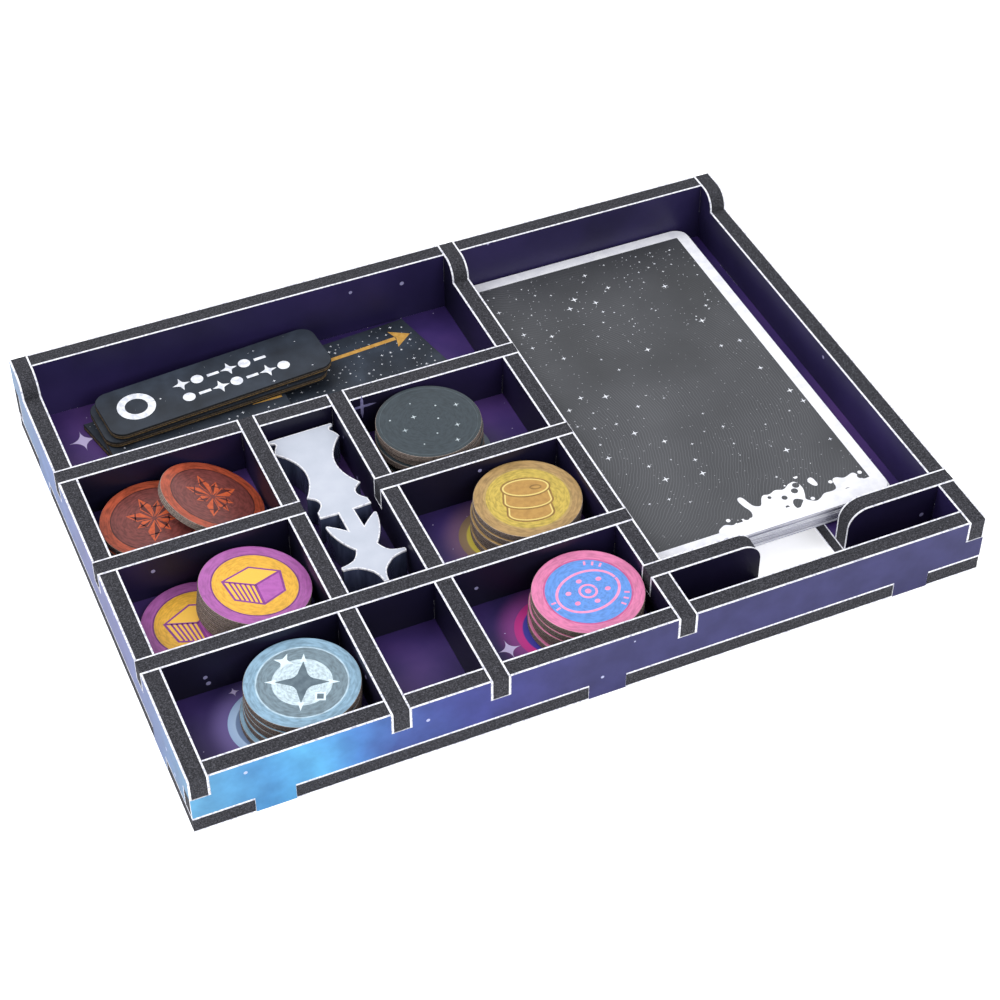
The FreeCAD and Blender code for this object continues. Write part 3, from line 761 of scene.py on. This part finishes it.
def block_sign():
    """A plain block seen from a corner: bright top, striped left side, plain right side."""
    half, drop, tall, stripes = 7.1, 3.1, 6.6, 6
    west, north, east, south = (-half, 3.0), (0.4, 3.0 + drop), (half, 3.0), (0, 3.0 - drop)
    low_west, low_south, low_east = [(x * 0.86, y - tall) for x, y in (west, south, east)]
    outer = [west, north, east, low_east, low_south, low_west]
    shapes = [([(x * 1.09, y * 1.09) for x, y in outer], 0, 1)]
    shapes.append(([west, south, east, north], 1, 2))
    shapes.append(([west, south, low_south, low_west], 1, 2))
    shapes.append(([south, east, low_east, low_south], 2, 2))
    shapes.append((stroke(south, low_south, 0.7), 0, 3))
    shapes += [(stroke(start, end, 0.6), 0, 3) for start, end in ((west, south), (south, east))]
    for number in range(1, stripes):
        share = number / stripes
        top = Vector(west).lerp(Vector(south), share)
        foot = Vector(low_west).lerp(Vector(low_south), share)
        shapes.append((stroke(top, foot, 0.5), 0, 3))
    return shapes


def drum_sign():
    """A plain drum: an oval lid over two bulging hoops, each with a pale line round it."""
    shapes = []
    for level, wide in ((-5.4, 10.6), (-1.0, 11.4)):
        for slot, grown in ((0, 0.9), (2, 0.4), (1, 0.0)):
            rim = ellipse(wide + 2 * grown, 4.6 + 2 * grown, (0, level), steps=18, start=180, sweep=180)
            top = [(wide / 2 - 0.4 + grown, level + 3.6), (-wide / 2 + 0.4 - grown, level + 3.6)]
            shapes.append((rim + top, slot, len(shapes) + 1))
    for slot, grown in ((0, 1.8), (2, 0.9), (1, 0.0)):
        shapes.append((ellipse(11.2 + grown, 5.4 + grown, (0, 3.9)), slot, len(shapes) + 1))
    shapes.append((arc_stroke(ellipse(2.8, 1.4, (2.6, 3.7), steps=20, sweep=355), 0.45), 0, len(shapes) + 1))
    return shapes


def star_sign():
    """A dark hollow star in a pale field, with four pale ticks over the ring round it."""
    shapes = [(hollow_star(6.5, 2.5), 0, 1)]
    for tip in range(4):
        dart = [(-0.85, 6.2), (0.85, 6.2), (0.4, 7.4), (0, 8.9), (-0.4, 7.4)]
        shapes.append((turned_points(dart, 90 * tip), 1, 1))
    shapes.append((hollow_star(2.6, 1.0, (-4.6, 6.4), turn=75), 1, 1))
    shapes.append((turned_points([(6.3, -1.8), (8.1, 0), (6.3, 1.8), (4.5, 0)], -45), 1, 2))
    shapes.append((turned_points([(6.3, -1.1), (7.4, 0), (6.3, 1.1), (5.2, 0)], -45), 0, 3))
    return shapes


def crystal_sign():
    """A cluster of plain crystals. Each is a kite with one shaded facet and a line across it."""
    shapes = []
    for number, (angle, long, wide) in enumerate((
            (98, 8.6, 1.5), (62, 6.6, 1.3), (22, 8.2, 1.7), (-28, 5.6, 1.2), (148, 7.4, 1.6), (196, 5.4, 1.2),
            (250, 8.4, 1.7), (292, 6.2, 1.3))):
        kite = [(0.6, 0), (long * 0.55, -wide), (long, 0), (long * 0.55, wide)]
        shapes.append((turned_points(kite, angle), 0, 1 + number % 2))
        shapes.append((turned_points([(0.9, 0), (long * 0.55, wide * 0.8), (long * 0.9, 0)], angle), 1, 3))
        shapes.append((turned_points(stroke((long * 0.72, -wide), (long * 0.62, wide), 0.35), angle), 1, 3))
    return shapes


def oval_sign():
    """A plain oval ring with dots in it and short rays round it."""
    shapes = [(arc_stroke(ellipse(12.8, 16.4, steps=56, start=92, sweep=357), 0.7), 0, 1)]
    for angle in (30, 42, 54, 126, 138, 150, 262, 275):
        way = Vector((math.cos(math.radians(angle)), math.sin(math.radians(angle))))
        shapes.append((stroke(way * 8.8, way * 10.1, 0.55), 0, 1))
    shapes.append((arc_stroke(ellipse(4.2, 4.2, steps=28, start=92, sweep=355), 0.6), 0, 1))
    shapes.append((ellipse(1.6, 1.6, steps=16), 0, 1))
    for number in range(6):
        angle = math.radians(60 * number)
        shapes.append((ellipse(1.3, 1.5, (3.9 * math.cos(angle), 5.2 * math.sin(angle)), steps=14), 0, 1))
    return shapes


def dots_sign():
    """Small pale dots and stars strewn over the dark face, like seeds in a sunflower."""
    draw = random.Random(11)
    shapes = []
    for number in range(11):
        angle, far = number * 2.4, 11.0 * math.sqrt((number + 0.7) / 11.5)
        size = draw.choice((0.4, 0.5, 0.85))
        middle = (far * math.cos(angle), far * math.sin(angle))
        shapes.append((hollow_star(size, 0.3 * size, middle) if size > 0.8
                       else ellipse(size, size, middle, steps=12), 0, 1))
    return shapes


SIGNS = {
    "orange": (crystal_sign(), [ink("orange_sign", "cf5f36", "b24a2a"), ink("orange_sign_dark", "5b2b2a")]),
    "purple": (block_sign(), [ink("purple_sign", "8c4090", "7d3882"), ink("purple_sign_gold", "f3bf4c"),
                               ink("purple_sign_side", "b562b2", "a658a4")]),
    "blue": (star_sign(), [ink("blue_sign", "63747f", "4f5f6b"), ink("blue_sign_pale", "dceef8")]),
    "slate": (dots_sign(), [ink("slate_sign", "c9d3d8", "a9b6bd")]),
    "gold": (drum_sign(), [ink("gold_sign_dark", "94723a", "80602f"), ink("gold_sign", "b98f4c", "a98043"),
                           ink("gold_sign_pale", "e0c878")]),
    "pink": (oval_sign(), [ink("pink_sign", "f29ac4", "e985b4")]),
}
print({colour: len(shapes) for colour, (shapes, inks) in SIGNS.items()}, "shapes in the signs")


# %% Tokens in their places
def token_lean(node):
    """How far a token leans, and the middle of it, worked out from the box of its CAD node."""
    low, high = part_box(node)
    wide, tall = high.x - low.x, high.z - low.z
    sine = (tall * TOKEN_WIDTH - wide * TOKEN_CARD) / (TOKEN_WIDTH ** 2 - TOKEN_CARD ** 2)
    return math.asin(max(0.0, sine)), (low + high) / 2


def token(node, turn):
    """One token with its print, turned about its own middle, on its own body."""
    colour = node.split("_")[0]
    shapes, inks = SIGNS[colour]
    mesh = grow(TOKEN_TREE, {
        "Radius": TOKEN_WIDTH / 2, "Card": TOKEN_CARD, "Plies": CARD_PLIES, "Dip": 0.13 * MM,
        "Print": TOKEN_PRINTS[colour], "Edge": CARD_EDGE})
    shape = opened(mesh)
    first = len(mesh.materials)
    for points, slot, layer in shapes:
        lay_ink(shape, points, first + slot, TOKEN_CARD / 2, layer)
    closed(shape, mesh)
    lean, middle = token_lean(node)
    mesh.transform(Matrix.Translation(middle) @ Matrix.Rotation(lean, 4, "Y") @ Matrix.Rotation(turn, 4, "Z"))
    return place_piece(node + "_disc", mesh, inks, node)


TOKEN_TURNS = {"orange": 4.0, "purple": 2.0, "blue": -24.0, "slate": 0.0, "gold": -16.0, "pink": -78.0}
token_nodes = sorted(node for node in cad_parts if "_token_" in node)
draw = random.Random(5)
tokens = []
for node in token_nodes:
    colour = node.split("_")[0]
    tokens.append(token(node, math.radians(TOKEN_TURNS[colour] + draw.uniform(-3, 3))))
print(len(tokens), "tokens,", len(tokens[0].data.polygons), "faces in the first")

# %% [markdown]
# ## Printed stars
# The boards, the cards and the slate tokens are dusted with tiny white stars. A few could be set by hand,
# but there are hundreds on a card, so a tree scatters points over a surface, puts a small star on each,
# gives each its own size, and joins them into one mesh. The seed is fixed. The stars' places also depend
# on how the surface under them is split into triangles.


# %% Star dust tree
def closed_slab(tree, flat, thickness):
    """A flat face made into a closed slab: pushed up, with its flipped copy as the underside."""
    up = add_node(tree, "ShaderNodeCombineXYZ", 0, {2: thickness})
    raised = add_node(tree, "GeometryNodeExtrudeMesh", 0, {"Mesh": flat, "Offset": up, "Individual": False})
    under = add_node(tree, "GeometryNodeFlipFaces", 0, {0: flat})
    both = tree.nodes.new("GeometryNodeJoinGeometry")
    tree.links.new(raised, both.inputs[0])
    tree.links.new(under, both.inputs[0])
    return add_node(tree, "GeometryNodeMergeByDistance", 0, {0: both.outputs[0], "Distance": 0.0005 * MM})


def star_tree():
    tree, given = new_tree("star_dust", [
        ("Surface", "Geometry"), ("Density", "Float"), ("Gap", "Float"), ("Reach", "Float"), ("Ink", "Float"),
        ("Seed", "Int"), ("Print", "Material")])
    strewn = tree.nodes.new("GeometryNodeDistributePointsOnFaces")
    strewn.distribute_method = "POISSON"
    for socket, label in (("Mesh", "Surface"), ("Distance Min", "Gap"), ("Density Max", "Density"),
                          ("Seed", "Seed")):
        tree.links.new(given[label], strewn.inputs[socket])
    star = add_node(tree, "GeometryNodeCurveStar", 0, {
        "Points": 4, "Inner Radius": math_node(tree, "MULTIPLY", given["Reach"], 0.26),
        "Outer Radius": given["Reach"]})
    slab = closed_slab(tree, add_node(tree, "GeometryNodeFillCurve", 0, {0: star}), given["Ink"])
    sizes = add_node(tree, "FunctionNodeRandomValue", 1, {2: 0.3, 3: 1.0, "Seed": given["Seed"]})
    swing = math_node(tree, "POWER", sizes, 2.2)
    dusted = add_node(tree, "GeometryNodeInstanceOnPoints", 0, {
        "Points": strewn.outputs["Points"], "Instance": slab, "Rotation": strewn.outputs["Rotation"],
        "Scale": add_node(tree, "ShaderNodeCombineXYZ", 0, {0: swing, 1: swing, 2: 1.0})})
    whole = add_node(tree, "GeometryNodeRealizeInstances", 0, {0: dusted})
    close_tree(tree, add_node(tree, "GeometryNodeSetMaterial", 0, {0: whole, "Material": given["Print"]}))
    return tree


STAR_TREE = star_tree()
STAR_INK = ink("star_ink", "f2f4fa", "c9ccd8")


def flat_patch(points, top):
    """A flat mesh that stars are strewn over."""
    shape = bmesh.new()
    shape.faces.new([shape.verts.new((p[0], p[1], top)) for p in points])
    shape.normal_update()
    return closed(shape, bpy.data.meshes.new("patch"))


STAR_SLOT = 2


def strew_stars(shape, patch, per_cm2, gap, reach, seed):
    """Adds star dust over a patch to a mesh that is being made. Returns how many faces it has."""
    stars = grow(STAR_TREE, {
        "Density": per_cm2 * 1e4, "Gap": gap * MM, "Reach": reach * MM, "Ink": INK * MM, "Seed": seed,
        "Print": STAR_INK}, patch)
    before = len(shape.faces)
    shape.from_mesh(stars)
    shape.faces.ensure_lookup_table()
    for face in shape.faces[before:]:
        face.material_index = STAR_SLOT
    return len(shape.faces) - before


print("star dust is ready")


# %% Sparkle on a wall
def wall_sparkle(piece, middle, reach):
    """A printed four-pointed star on the side of a panel that looks towards the front."""
    shape = opened(piece.data)
    upright = Matrix.Translation(middle) @ Matrix.Rotation(math.radians(90), 4, "X")
    piece.data.materials.append(ink("wall_star_ink", "8f8bb8", "6d6a98"))
    lay_ink(shape, hollow_star(reach, 0.16 * reach, steps=8), len(piece.data.materials) - 1, 0.0, 1, upright)
    closed(shape, piece.data)


STAR_ASIDE, STAR_UP, STAR_REACH = 18.7 * MM, 14.8 * MM, 4.2
slate_wall = next(board for board in boards if board.name == "board_bay_wall_board")
slate_bay = bay_middle(*RIGHT_BAYS, *RIGHT_ROWS[2])
wall_sparkle(slate_wall, (slate_bay.x - STAR_ASIDE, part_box("board_bay_wall")[0].y, STAR_UP), STAR_REACH)
print("one sparkle on", slate_wall.name)

# %% [markdown]
# ## Marker boards
# Four slim boards lie in the long bay: two with a white ring, one with a gold dash and one with a gold
# arrow. They are cut from the same pressed card as the tokens. Their outlines are read from the CAD and
# built up in rings like the panels, with a dip between the plies. The marks are ink shapes placed from the
# middle of the board, along its own length, so they turn with it.


# %% Board finishes
def board_print():
    finish = Finish("board_print", 0.42, specular=0.4)
    drift = finish.grain(9.0, detail=4.0)
    colour = finish.shades(drift, [(0.30, "20252d"), (0.55, "2d343f"), (0.75, "3c4552")])
    return finish.done(colour, 0.5, 0.008)


BOARD_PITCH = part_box("dash_board")[0].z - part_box("arrow_board")[0].z


def board_edge():
    """Dark pressed card with a gold-brown ply line."""
    finish = Finish("board_edge", 0.8, specular=0.25)
    above = finish.sum("SUBTRACT", finish.part(finish.place, Z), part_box("arrow_board")[0].z)
    share = finish.sum("FRACT", finish.sum("DIVIDE", above, BOARD_PITCH))
    base = finish.shades(share, [(0.0, "2a2829"), (0.26, "33302e"), (0.32, "b08c50"), (0.38, "3a3430"),
                                 (0.66, "6a5a48"), (0.72, "302d2d"), (0.92, "26282c")])
    fibre = finish.shades(finish.grain(0.5, detail=4.0), [(0.3, "8c8c8c"), (0.65, "ffffff")])
    return finish.done(finish.mix(0.8, base, fibre, "MULTIPLY"), 0.4, 0.04)


BOARD_PRINT = board_print()
BOARD_EDGE = board_edge()
GOLD_INK = ink("gold_ink", "d0a052", "b5863e", roughness=0.3)
print("boards lie", round(BOARD_PITCH / MM, 2), "mm above each other")


# %% Boards
def board_frame(node):
    """The matrix from the board's own lengthways drawing to its place, read from its longest edge."""
    outline = rims(node, Z)[0]
    edges = [b - a for a, b in zip(outline, outline[1:] + outline[:1])]
    along = max(edges, key=lambda edge: edge.length)
    along = along if along.x > 0 else -along
    low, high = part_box(node)
    middle = Vector(((low.x + high.x) / 2, (low.y + high.y) / 2, 0))
    return Matrix.Translation(middle) @ Matrix.Rotation(math.atan2(along.y, along.x), 4, "Z")


def marker_board(node, marks, dust, seed):
    """One board: its card body, its marks, and star dust on its top."""
    low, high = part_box(node)[0].z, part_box(node)[1].z
    steps = 12
    rings = []
    for number in range(steps + 1):
        share = number / steps
        dip = 0.12 * MM * abs(math.cos(CARD_PLIES * math.pi * share)) ** 7
        rings.append((low + share * (high - low), dip))

    def roughen(number, point):
        return 0.05 * MM * noise.noise(point / (1.1 * MM) + Vector((0, 0, number * 0.9)))

    loops = [split_long_runs(points, 1.2) for points in rims(node, Z)]
    mesh = skin(node + "_card", loops, Z, rings, [0] * steps, (1, 1), roughen)
    shape = opened(mesh)
    own = board_frame(node)
    for points, slot, layer in marks:
        lay_ink(shape, points, slot, high, layer, own)
    outline = rims(node, Z)[0]
    dusty = [point + step * 0.8 * MM for point, step in zip(outline, inward(outline, Z))]
    stars = strew_stars(shape, flat_patch(dusty, high), dust, 1.3, 0.62, seed)
    closed(shape, mesh)
    print(node, "has", stars, "faces of star dust")
    finishes = (BOARD_EDGE, BOARD_PRINT, STAR_INK, GOLD_INK)
    place_piece(node + "_card", mesh, finishes, node)


WHITE, GOLD = STAR_SLOT, 3


def ring_marks():
    """A white ring at the left end, then two rows of plain stars, discs and bars."""
    marks = [(arc_stroke(ellipse(8.3, 8.3, (-22.4, 0.1), steps=48, sweep=359.5, start=0.1), 2.1), WHITE, 2)]
    for row, (height, count, start) in enumerate(((2.7, 6, -8.5), (-3.0, 7, -8.5))):
        for number in range(count):
            middle = (start + number * 4.6, height)
            if (number + row) % 3 == 1:
                marks.append((ellipse(3.4, 3.4, middle, steps=20), WHITE, 2))
            elif (number + row) % 3 == 2:
                marks.append((stroke((middle[0] - 1.7, height), (middle[0] + 1.7, height), 1.0), WHITE, 2))
            else:
                marks.append((hollow_star(2.5, 1.0, middle, steps=3), WHITE, 2))
    return marks


ARROW_TIP = [(39.6, 7.6), (40.7, 4.06), (39.6, 0.4), (44.9, 4.06)]
ARROW = [(stroke((8.0, 4.0), (40.4, 4.06), 1.3), GOLD, 2), (ARROW_TIP, GOLD, 3)]
DASH = [(stroke((15.5, -1.6), (23.8, -2.0), 1.5), GOLD, 2)]
BOARD_MARKS = {"arrow_board": (ARROW, 34), "dash_board": (DASH, 9), "ring_board_lower": (ring_marks(), 1),
               "ring_board_upper": (ring_marks(), 1)}
for seed, (node, (marks, dust)) in enumerate(BOARD_MARKS.items()):
    marker_board(node, marks, dust, seed + 3)

# %% [markdown]
# ## White marker
# The marker is a thick cut-out: a waisted tower with a five-armed star below it. Half of its outline is a
# short list of corners, each with the sag of the run that leads to it, and the other half is its mirror.
# The top is white card and the tall sides are a dark varnished navy, streaked lighter by painted highlights,
# with a thin white line where the top sheet was cut.


# %% Marker finishes
def marker_top():
    finish = Finish("marker_top", 0.5, specular=0.35)
    drift = finish.grain(6.0, detail=4.0)
    colour = finish.shades(drift, [(0.3, "bac0cd"), (0.55, "c1c6d3"), (0.8, "c8cdd8")])
    return finish.done(colour, 0.7, 0.012)


def marker_side():
    finish = Finish("marker_side", 0.24, specular=0.5, coat=0.4, coat_roughness=0.12)
    # The sides are dark navy. The lighter slate-blue streaks that run up them are painted highlights of the
    # glossy varnish.
    highlight_streak = finish.grain(2.2, detail=4.0, stretch=(1, 1, 5))
    colour = finish.shades(highlight_streak, [(0.25, "30354c"), (0.5, "434a64"), (0.75, "5a627e")])
    return finish.done(colour, 1.2, 0.02)


BOW_STEPS = 14


def bowed(start, end, sag):
    """Points from one corner to just before the next, on an arc that bulges outwards by its sag."""
    if not sag:
        return [start]
    way = Vector(end) - Vector(start)
    side = Vector((way.y, -way.x)).normalized()
    shares = [step / BOW_STEPS for step in range(BOW_STEPS)]
    return [tuple(Vector(start) + way * share + side * sag * 4 * share * (1 - share)) for share in shares]


print("marker finishes are ready")

# %% Marker
MARKER_SIDE = [
    (8.85, 0.25, 0), (8.75, 0.95, 0), (7.75, 1.35, 0), (7.5, 2.4, -0.1), (8.95, 5.4, 0.2), (7.3, 24.0, -3.9),
    (6.75, 30.0, -2.1), (6.9, 32.2, 0), (2.05, 32.4, 0), (2.15, 39.3, 0), (6.2, 35.7, 0.1), (6.9, 35.9, 0.2),
    (2.9, 46.2, 0.8), (4.8, 49.4, -0.25), (8.4, 50.4, -0.2), (8.4, 51.6, 0.2), (4.6, 52.4, -0.2),
    (1.7, 55.1, -0.15), (0.6, 59.2, -0.25)]
MARKER_TURN = 1.1


def white_marker():
    low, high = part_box("white_marker")
    centre, back = (low.x + high.x) / 2, high.y
    side = [(MARKER_SIDE[0][0] - 0.3, 0.0)]
    for (*corner, _), (*following, sag) in zip(MARKER_SIDE, MARKER_SIDE[1:]):
        side += bowed(corner, following, sag)
    side.append(MARKER_SIDE[-1][:2])
    whole = side + [(-x, y) for x, y in side[::-1]]
    turn = Matrix.Rotation(math.radians(MARKER_TURN), 3, "Z")
    corner = Vector((centre, back, 0))
    points = [corner + turn @ Vector((x * MM, -y * MM, 0)) for x, y in whole][::-1]
    bottom, top = low.z, high.z
    rings = [
        (bottom, 0.15 * MM), (bottom + 0.15 * MM, 0.0), ((bottom + top) / 2, 0.0), (top - 0.55 * MM, 0.0),
        (top - 0.5 * MM, -0.04 * MM), (top - 0.1 * MM, -0.04 * MM), (top, 0.06 * MM), (top, 0.3 * MM)]
    loops = [split_long_runs(points, 1.2)]
    mesh = skin("white_marker_cutout", loops, Z, rings, (0, 0, 0, 1, 1, 1, 1), (0, 2))
    return place_piece("white_marker_cutout", mesh, (marker_side(), CUT_PAPER, marker_top()), "white_marker")


marker = white_marker()
print("the marker has", len(marker.data.polygons), "faces")

# %% [markdown]
# ## Cards
# A deck is one card, repeated. The tree makes a single card, a rounded rectangle pushed up by its
# thickness, and stacks it along a line, nudging every copy a little aside, because no real deck is
# square. The card on top is built like a panel, with rounded edges, and carries the printed back: a white
# border, a night sky, and a pale splash along the front, cut out of smooth noise, with a few dark drops in
# it.

# %% Card back
CARD_LOW, CARD_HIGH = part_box("top_card")
CARD_MIDDLE = (CARD_LOW + CARD_HIGH) / 2
CARD_BORDER = 3.5
CORNER = 3.0


def card_rim(finish, inset, corner):
    """How far outside a rounded rectangle, set into the card, a point is in millimetres."""
    half = (CARD_HIGH - CARD_LOW) / 2 / MM - Vector((inset + corner, inset + corner, 0))
    away = finish.vector("ABSOLUTE", finish.vector("SUBTRACT", finish.place, CARD_MIDDLE))
    over = finish.vector("SUBTRACT", finish.vector("MULTIPLY", away, (1 / MM, 1 / MM, 1 / MM)), half)
    return finish.sum("SUBTRACT", finish.level_length(finish.vector("MAXIMUM", over)), corner)


SPLASH_LEFT, SPLASH_RIGHT, SPLASH_TOP = 21.0, 67.0, 14.0


def splash(finish):
    """1 in the pale splash. It is smooth noise cut at a level that rises away from the card's front edge, so
    it is solid at its foot, pierced by drops higher up, and throws a few beads."""
    from_corner = finish.vector("SUBTRACT", finish.place, CARD_LOW)
    across, along = [finish.sum("DIVIDE", finish.part(from_corner, axis), MM) for axis in (X, Y)]
    rise = finish.sum("DIVIDE", finish.sum("SUBTRACT", along, CARD_BORDER), SPLASH_TOP - CARD_BORDER)
    centre, half = (SPLASH_LEFT + SPLASH_RIGHT) / 2, (SPLASH_RIGHT - SPLASH_LEFT) / 2
    aside = finish.sum("ABSOLUTE", finish.sum("SUBTRACT", across, centre))
    sides = finish.sum("POWER", finish.sum("DIVIDE", aside, half), 9.0)
    slope = finish.sum("MULTIPLY_ADD", rise, 0.5, 0.22)
    level = finish.sum("ADD", slope, finish.sum("MULTIPLY", sides, 0.3))
    solid = finish.sum("GREATER_THAN", finish.grain(3.9, detail=0.0, stretch=(1, 1.7, 1)), level)
    drops = finish.sum("MULTIPLY", finish.dots(3.5, 0.95), finish.sum("GREATER_THAN", rise, 0.12))
    beads = finish.sum("MULTIPLY", finish.dots(4.2, 0.6), finish.sum("LESS_THAN", level, 0.72))
    return finish.sum("MAXIMUM", finish.sum("MULTIPLY", solid, finish.sum("SUBTRACT", 1.0, drops)), beads)


def card_back():
    finish = Finish("card_back", 0.38, specular=0.4)
    sky = finish.shades(finish.grain(30.0, detail=3.0), [
        (0.3, "3b3c3f"), (0.55, "45464a"), (0.8, "4f5054")])
    rings = add_node(finish.tree, "ShaderNodeTexWave", "Fac", {
        "Vector": finish.place, "Scale": 420.0, "Distortion": 9.0, "Detail": 2.0, "Detail Scale": 0.35},
        wave_type="RINGS", rings_direction="Z")
    patchy = finish.shades(finish.grain(26.0), [(0.42, "000000"), (0.62, "ffffff")])
    sky = finish.mix(finish.sum("MULTIPLY", finish.sum("GREATER_THAN", rings, 0.86), 0.2), sky,
                     finish.mix(patchy, sky, "8a8b90"))
    speck = finish.sum("MULTIPLY", finish.dots(1.5, 0.15), finish.grain(16.0))
    sky = finish.mix(speck, sky, "c4c6cc")
    white = finish.shades(finish.grain(3.0, detail=3.0), [(0.3, "e6e6ef"), (0.6, "f6f6fb")])
    edge = finish.sum("GREATER_THAN", card_rim(finish, CARD_BORDER, 0.4), 0.0)
    return finish.done(finish.mix(finish.sum("MAXIMUM", edge, splash(finish)), sky, white), 0.5, 0.004)


def card_paper():
    finish = Finish("card_paper", 0.7, specular=0.3)
    layer = finish.grain(0.8, detail=2.0, stretch=(14, 14, 0.35))
    colour = finish.shades(layer, [(0.3, "8f90a4"), (0.5, "c2c3d2"), (0.7, "e4e4ee")])
    return finish.done(colour, layer, 0.02)


CARD_BACK = card_back()
CARD_PAPER = card_paper()
print("cards are", [round(c / MM, 1) for c in (CARD_HIGH - CARD_LOW)[:2]], "mm")

# %% Deck tree
DECK_CARDS = 16


def deck_tree():
    tree, given = new_tree("card_stack", [
        ("Width", "Float"), ("Length", "Float"), ("Corner", "Float"), ("Card", "Float"), ("Cards", "Int"),
        ("Pitch", "Float"), ("Nudge", "Float"), ("Seed", "Int"), ("Back", "Material"), ("Paper", "Material")])
    outline = add_node(tree, "GeometryNodeCurvePrimitiveQuadrilateral", 0, {
        "Width": given["Width"], "Height": given["Length"]})
    rounded = add_node(tree, "GeometryNodeFilletCurve", 0, {
        "Curve": outline, "Radius": given["Corner"], "Count": 8}, mode="POLY")
    flat = add_node(tree, "GeometryNodeFillCurve", 0, {0: rounded})
    flat = add_node(tree, "GeometryNodeSetMaterial", 0, {0: flat, "Material": given["Paper"]})
    slab = closed_slab(tree, flat, given["Card"])
    up = add_node(tree, "ShaderNodeSeparateXYZ", "Z", {0: add_node(tree, "GeometryNodeInputNormal")})
    upward = add_node(tree, "FunctionNodeCompare", 0, {0: up, 1: 0.9}, operation="GREATER_THAN")
    printed = add_node(tree, "GeometryNodeSetMaterial", 0, {
        "Geometry": slab, "Selection": upward, "Material": given["Back"]})
    line = add_node(tree, "GeometryNodeMeshLine", 0, {
        "Count": given["Cards"], "Offset": add_node(tree, "ShaderNodeCombineXYZ", 0, {2: given["Pitch"]})})
    shift = add_node(tree, "FunctionNodeRandomValue", 0, {
        0: (-0.3, -1.0, 0.0), 1: (1.0, 1.0, 0.0), "Seed": given["Seed"]}, data_type="FLOAT_VECTOR")
    nudge = add_node(tree, "ShaderNodeVectorMath", 0, {0: shift, "Scale": given["Nudge"]}, operation="SCALE")
    loose = add_node(tree, "GeometryNodeSetPosition", 0, {"Geometry": line, "Offset": nudge})
    stacked = add_node(tree, "GeometryNodeInstanceOnPoints", 0, {"Points": loose, "Instance": printed})
    close_tree(tree, add_node(tree, "GeometryNodeRealizeInstances", 0, {0: stacked}))
    return tree


def card_deck():
    low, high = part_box("card_deck")
    pitch = (high.z - low.z) / DECK_CARDS
    mesh = grow(deck_tree(), {
        "Width": high.x - low.x, "Length": high.y - low.y, "Corner": CORNER * MM, "Card": pitch * 0.93,
        "Cards": DECK_CARDS, "Pitch": pitch, "Nudge": 0.45 * MM, "Seed": 4, "Back": CARD_BACK,
        "Paper": CARD_PAPER})
    mesh.transform(Matrix.Translation(((low.x + high.x) / 2, (low.y + high.y) / 2, low.z)))
    return place_piece("card_deck_stack", mesh, (), "card_deck")


deck = card_deck()
print("the deck has", DECK_CARDS, "cards and", len(deck.data.polygons), "faces")


# %% Top card
def top_card():
    low, high = CARD_LOW.z, CARD_HIGH.z
    rings = [(low, 0.08 * MM), (low + 0.08 * MM, 0.0), (high - 0.08 * MM, 0.0), (high, 0.08 * MM)]
    outline = rims("top_card", Z)[0]
    mesh = skin("top_card_print", [split_long_runs(outline, 2.0)], Z, rings, (0, 0, 0), (0, 1))
    shape = opened(mesh)
    inset = (CARD_BORDER + 1.0) * MM
    front = 15.0 * MM
    field = [(CARD_LOW.x + inset, CARD_LOW.y + front), (CARD_HIGH.x - inset, CARD_LOW.y + front),
             (CARD_HIGH.x - inset, CARD_HIGH.y - inset), (CARD_LOW.x + inset, CARD_HIGH.y - inset)]
    stars = strew_stars(shape, flat_patch(field, high), 2.2, 4.0, 1.15, 8)
    third = (CARD_HIGH.y - CARD_LOW.y) / 3
    back = [(x, max(y, CARD_HIGH.y - third)) for x, y in field]
    stars += strew_stars(shape, flat_patch(back, high), 10.0, 1.0, 0.45, 9)
    closed(shape, mesh)
    print("the top card has", stars, "faces of star dust")
    place_piece("top_card_print", mesh, (CARD_PAPER, CARD_BACK, STAR_INK), "top_card")


top_card()

# %% [markdown]
# ## Floor under the tray
# The stage is a wide pale sheet that curves up far behind the tray, so no horizon shows above it. The
# sheet gives off a little light of its own, which keeps the shadows on it soft.


# %% Stage
def paper_sweep():
    finish = Finish("studio_paper", 0.9, specular=0.1)
    white = finish.shades(finish.grain(60.0), [(0.3, "fbfbfc"), (0.7, "ffffff")])
    finish.tree.links.new(white, finish.shader.inputs["Base Color"])
    finish.shader.inputs["Emission Color"].default_value = (1.0, 1.0, 1.0, 1.0)
    finish.shader.inputs["Emission Strength"].default_value = 0.45
    shape = bmesh.new()
    half, back, rise, steps = 2.5, 1.6, 1.2, 16
    turns = [number * math.pi / 2 / steps for number in range(steps + 1)]
    path = [(-half, 0.0)] + [(back + rise * math.sin(t), rise * (1 - math.cos(t))) for t in turns]
    rows = [[shape.verts.new((side, y, z)) for side in (-half, half)] for y, z in path]
    for (a, b), (c, d) in zip(rows, rows[1:]):
        shape.faces.new((a, b, d, c))
    mesh = closed(shape, bpy.data.meshes.new("studio_floor"))
    mesh.materials.append(finish.material)
    return show(bpy.data.objects.new("studio_floor", mesh))


paper_sweep()
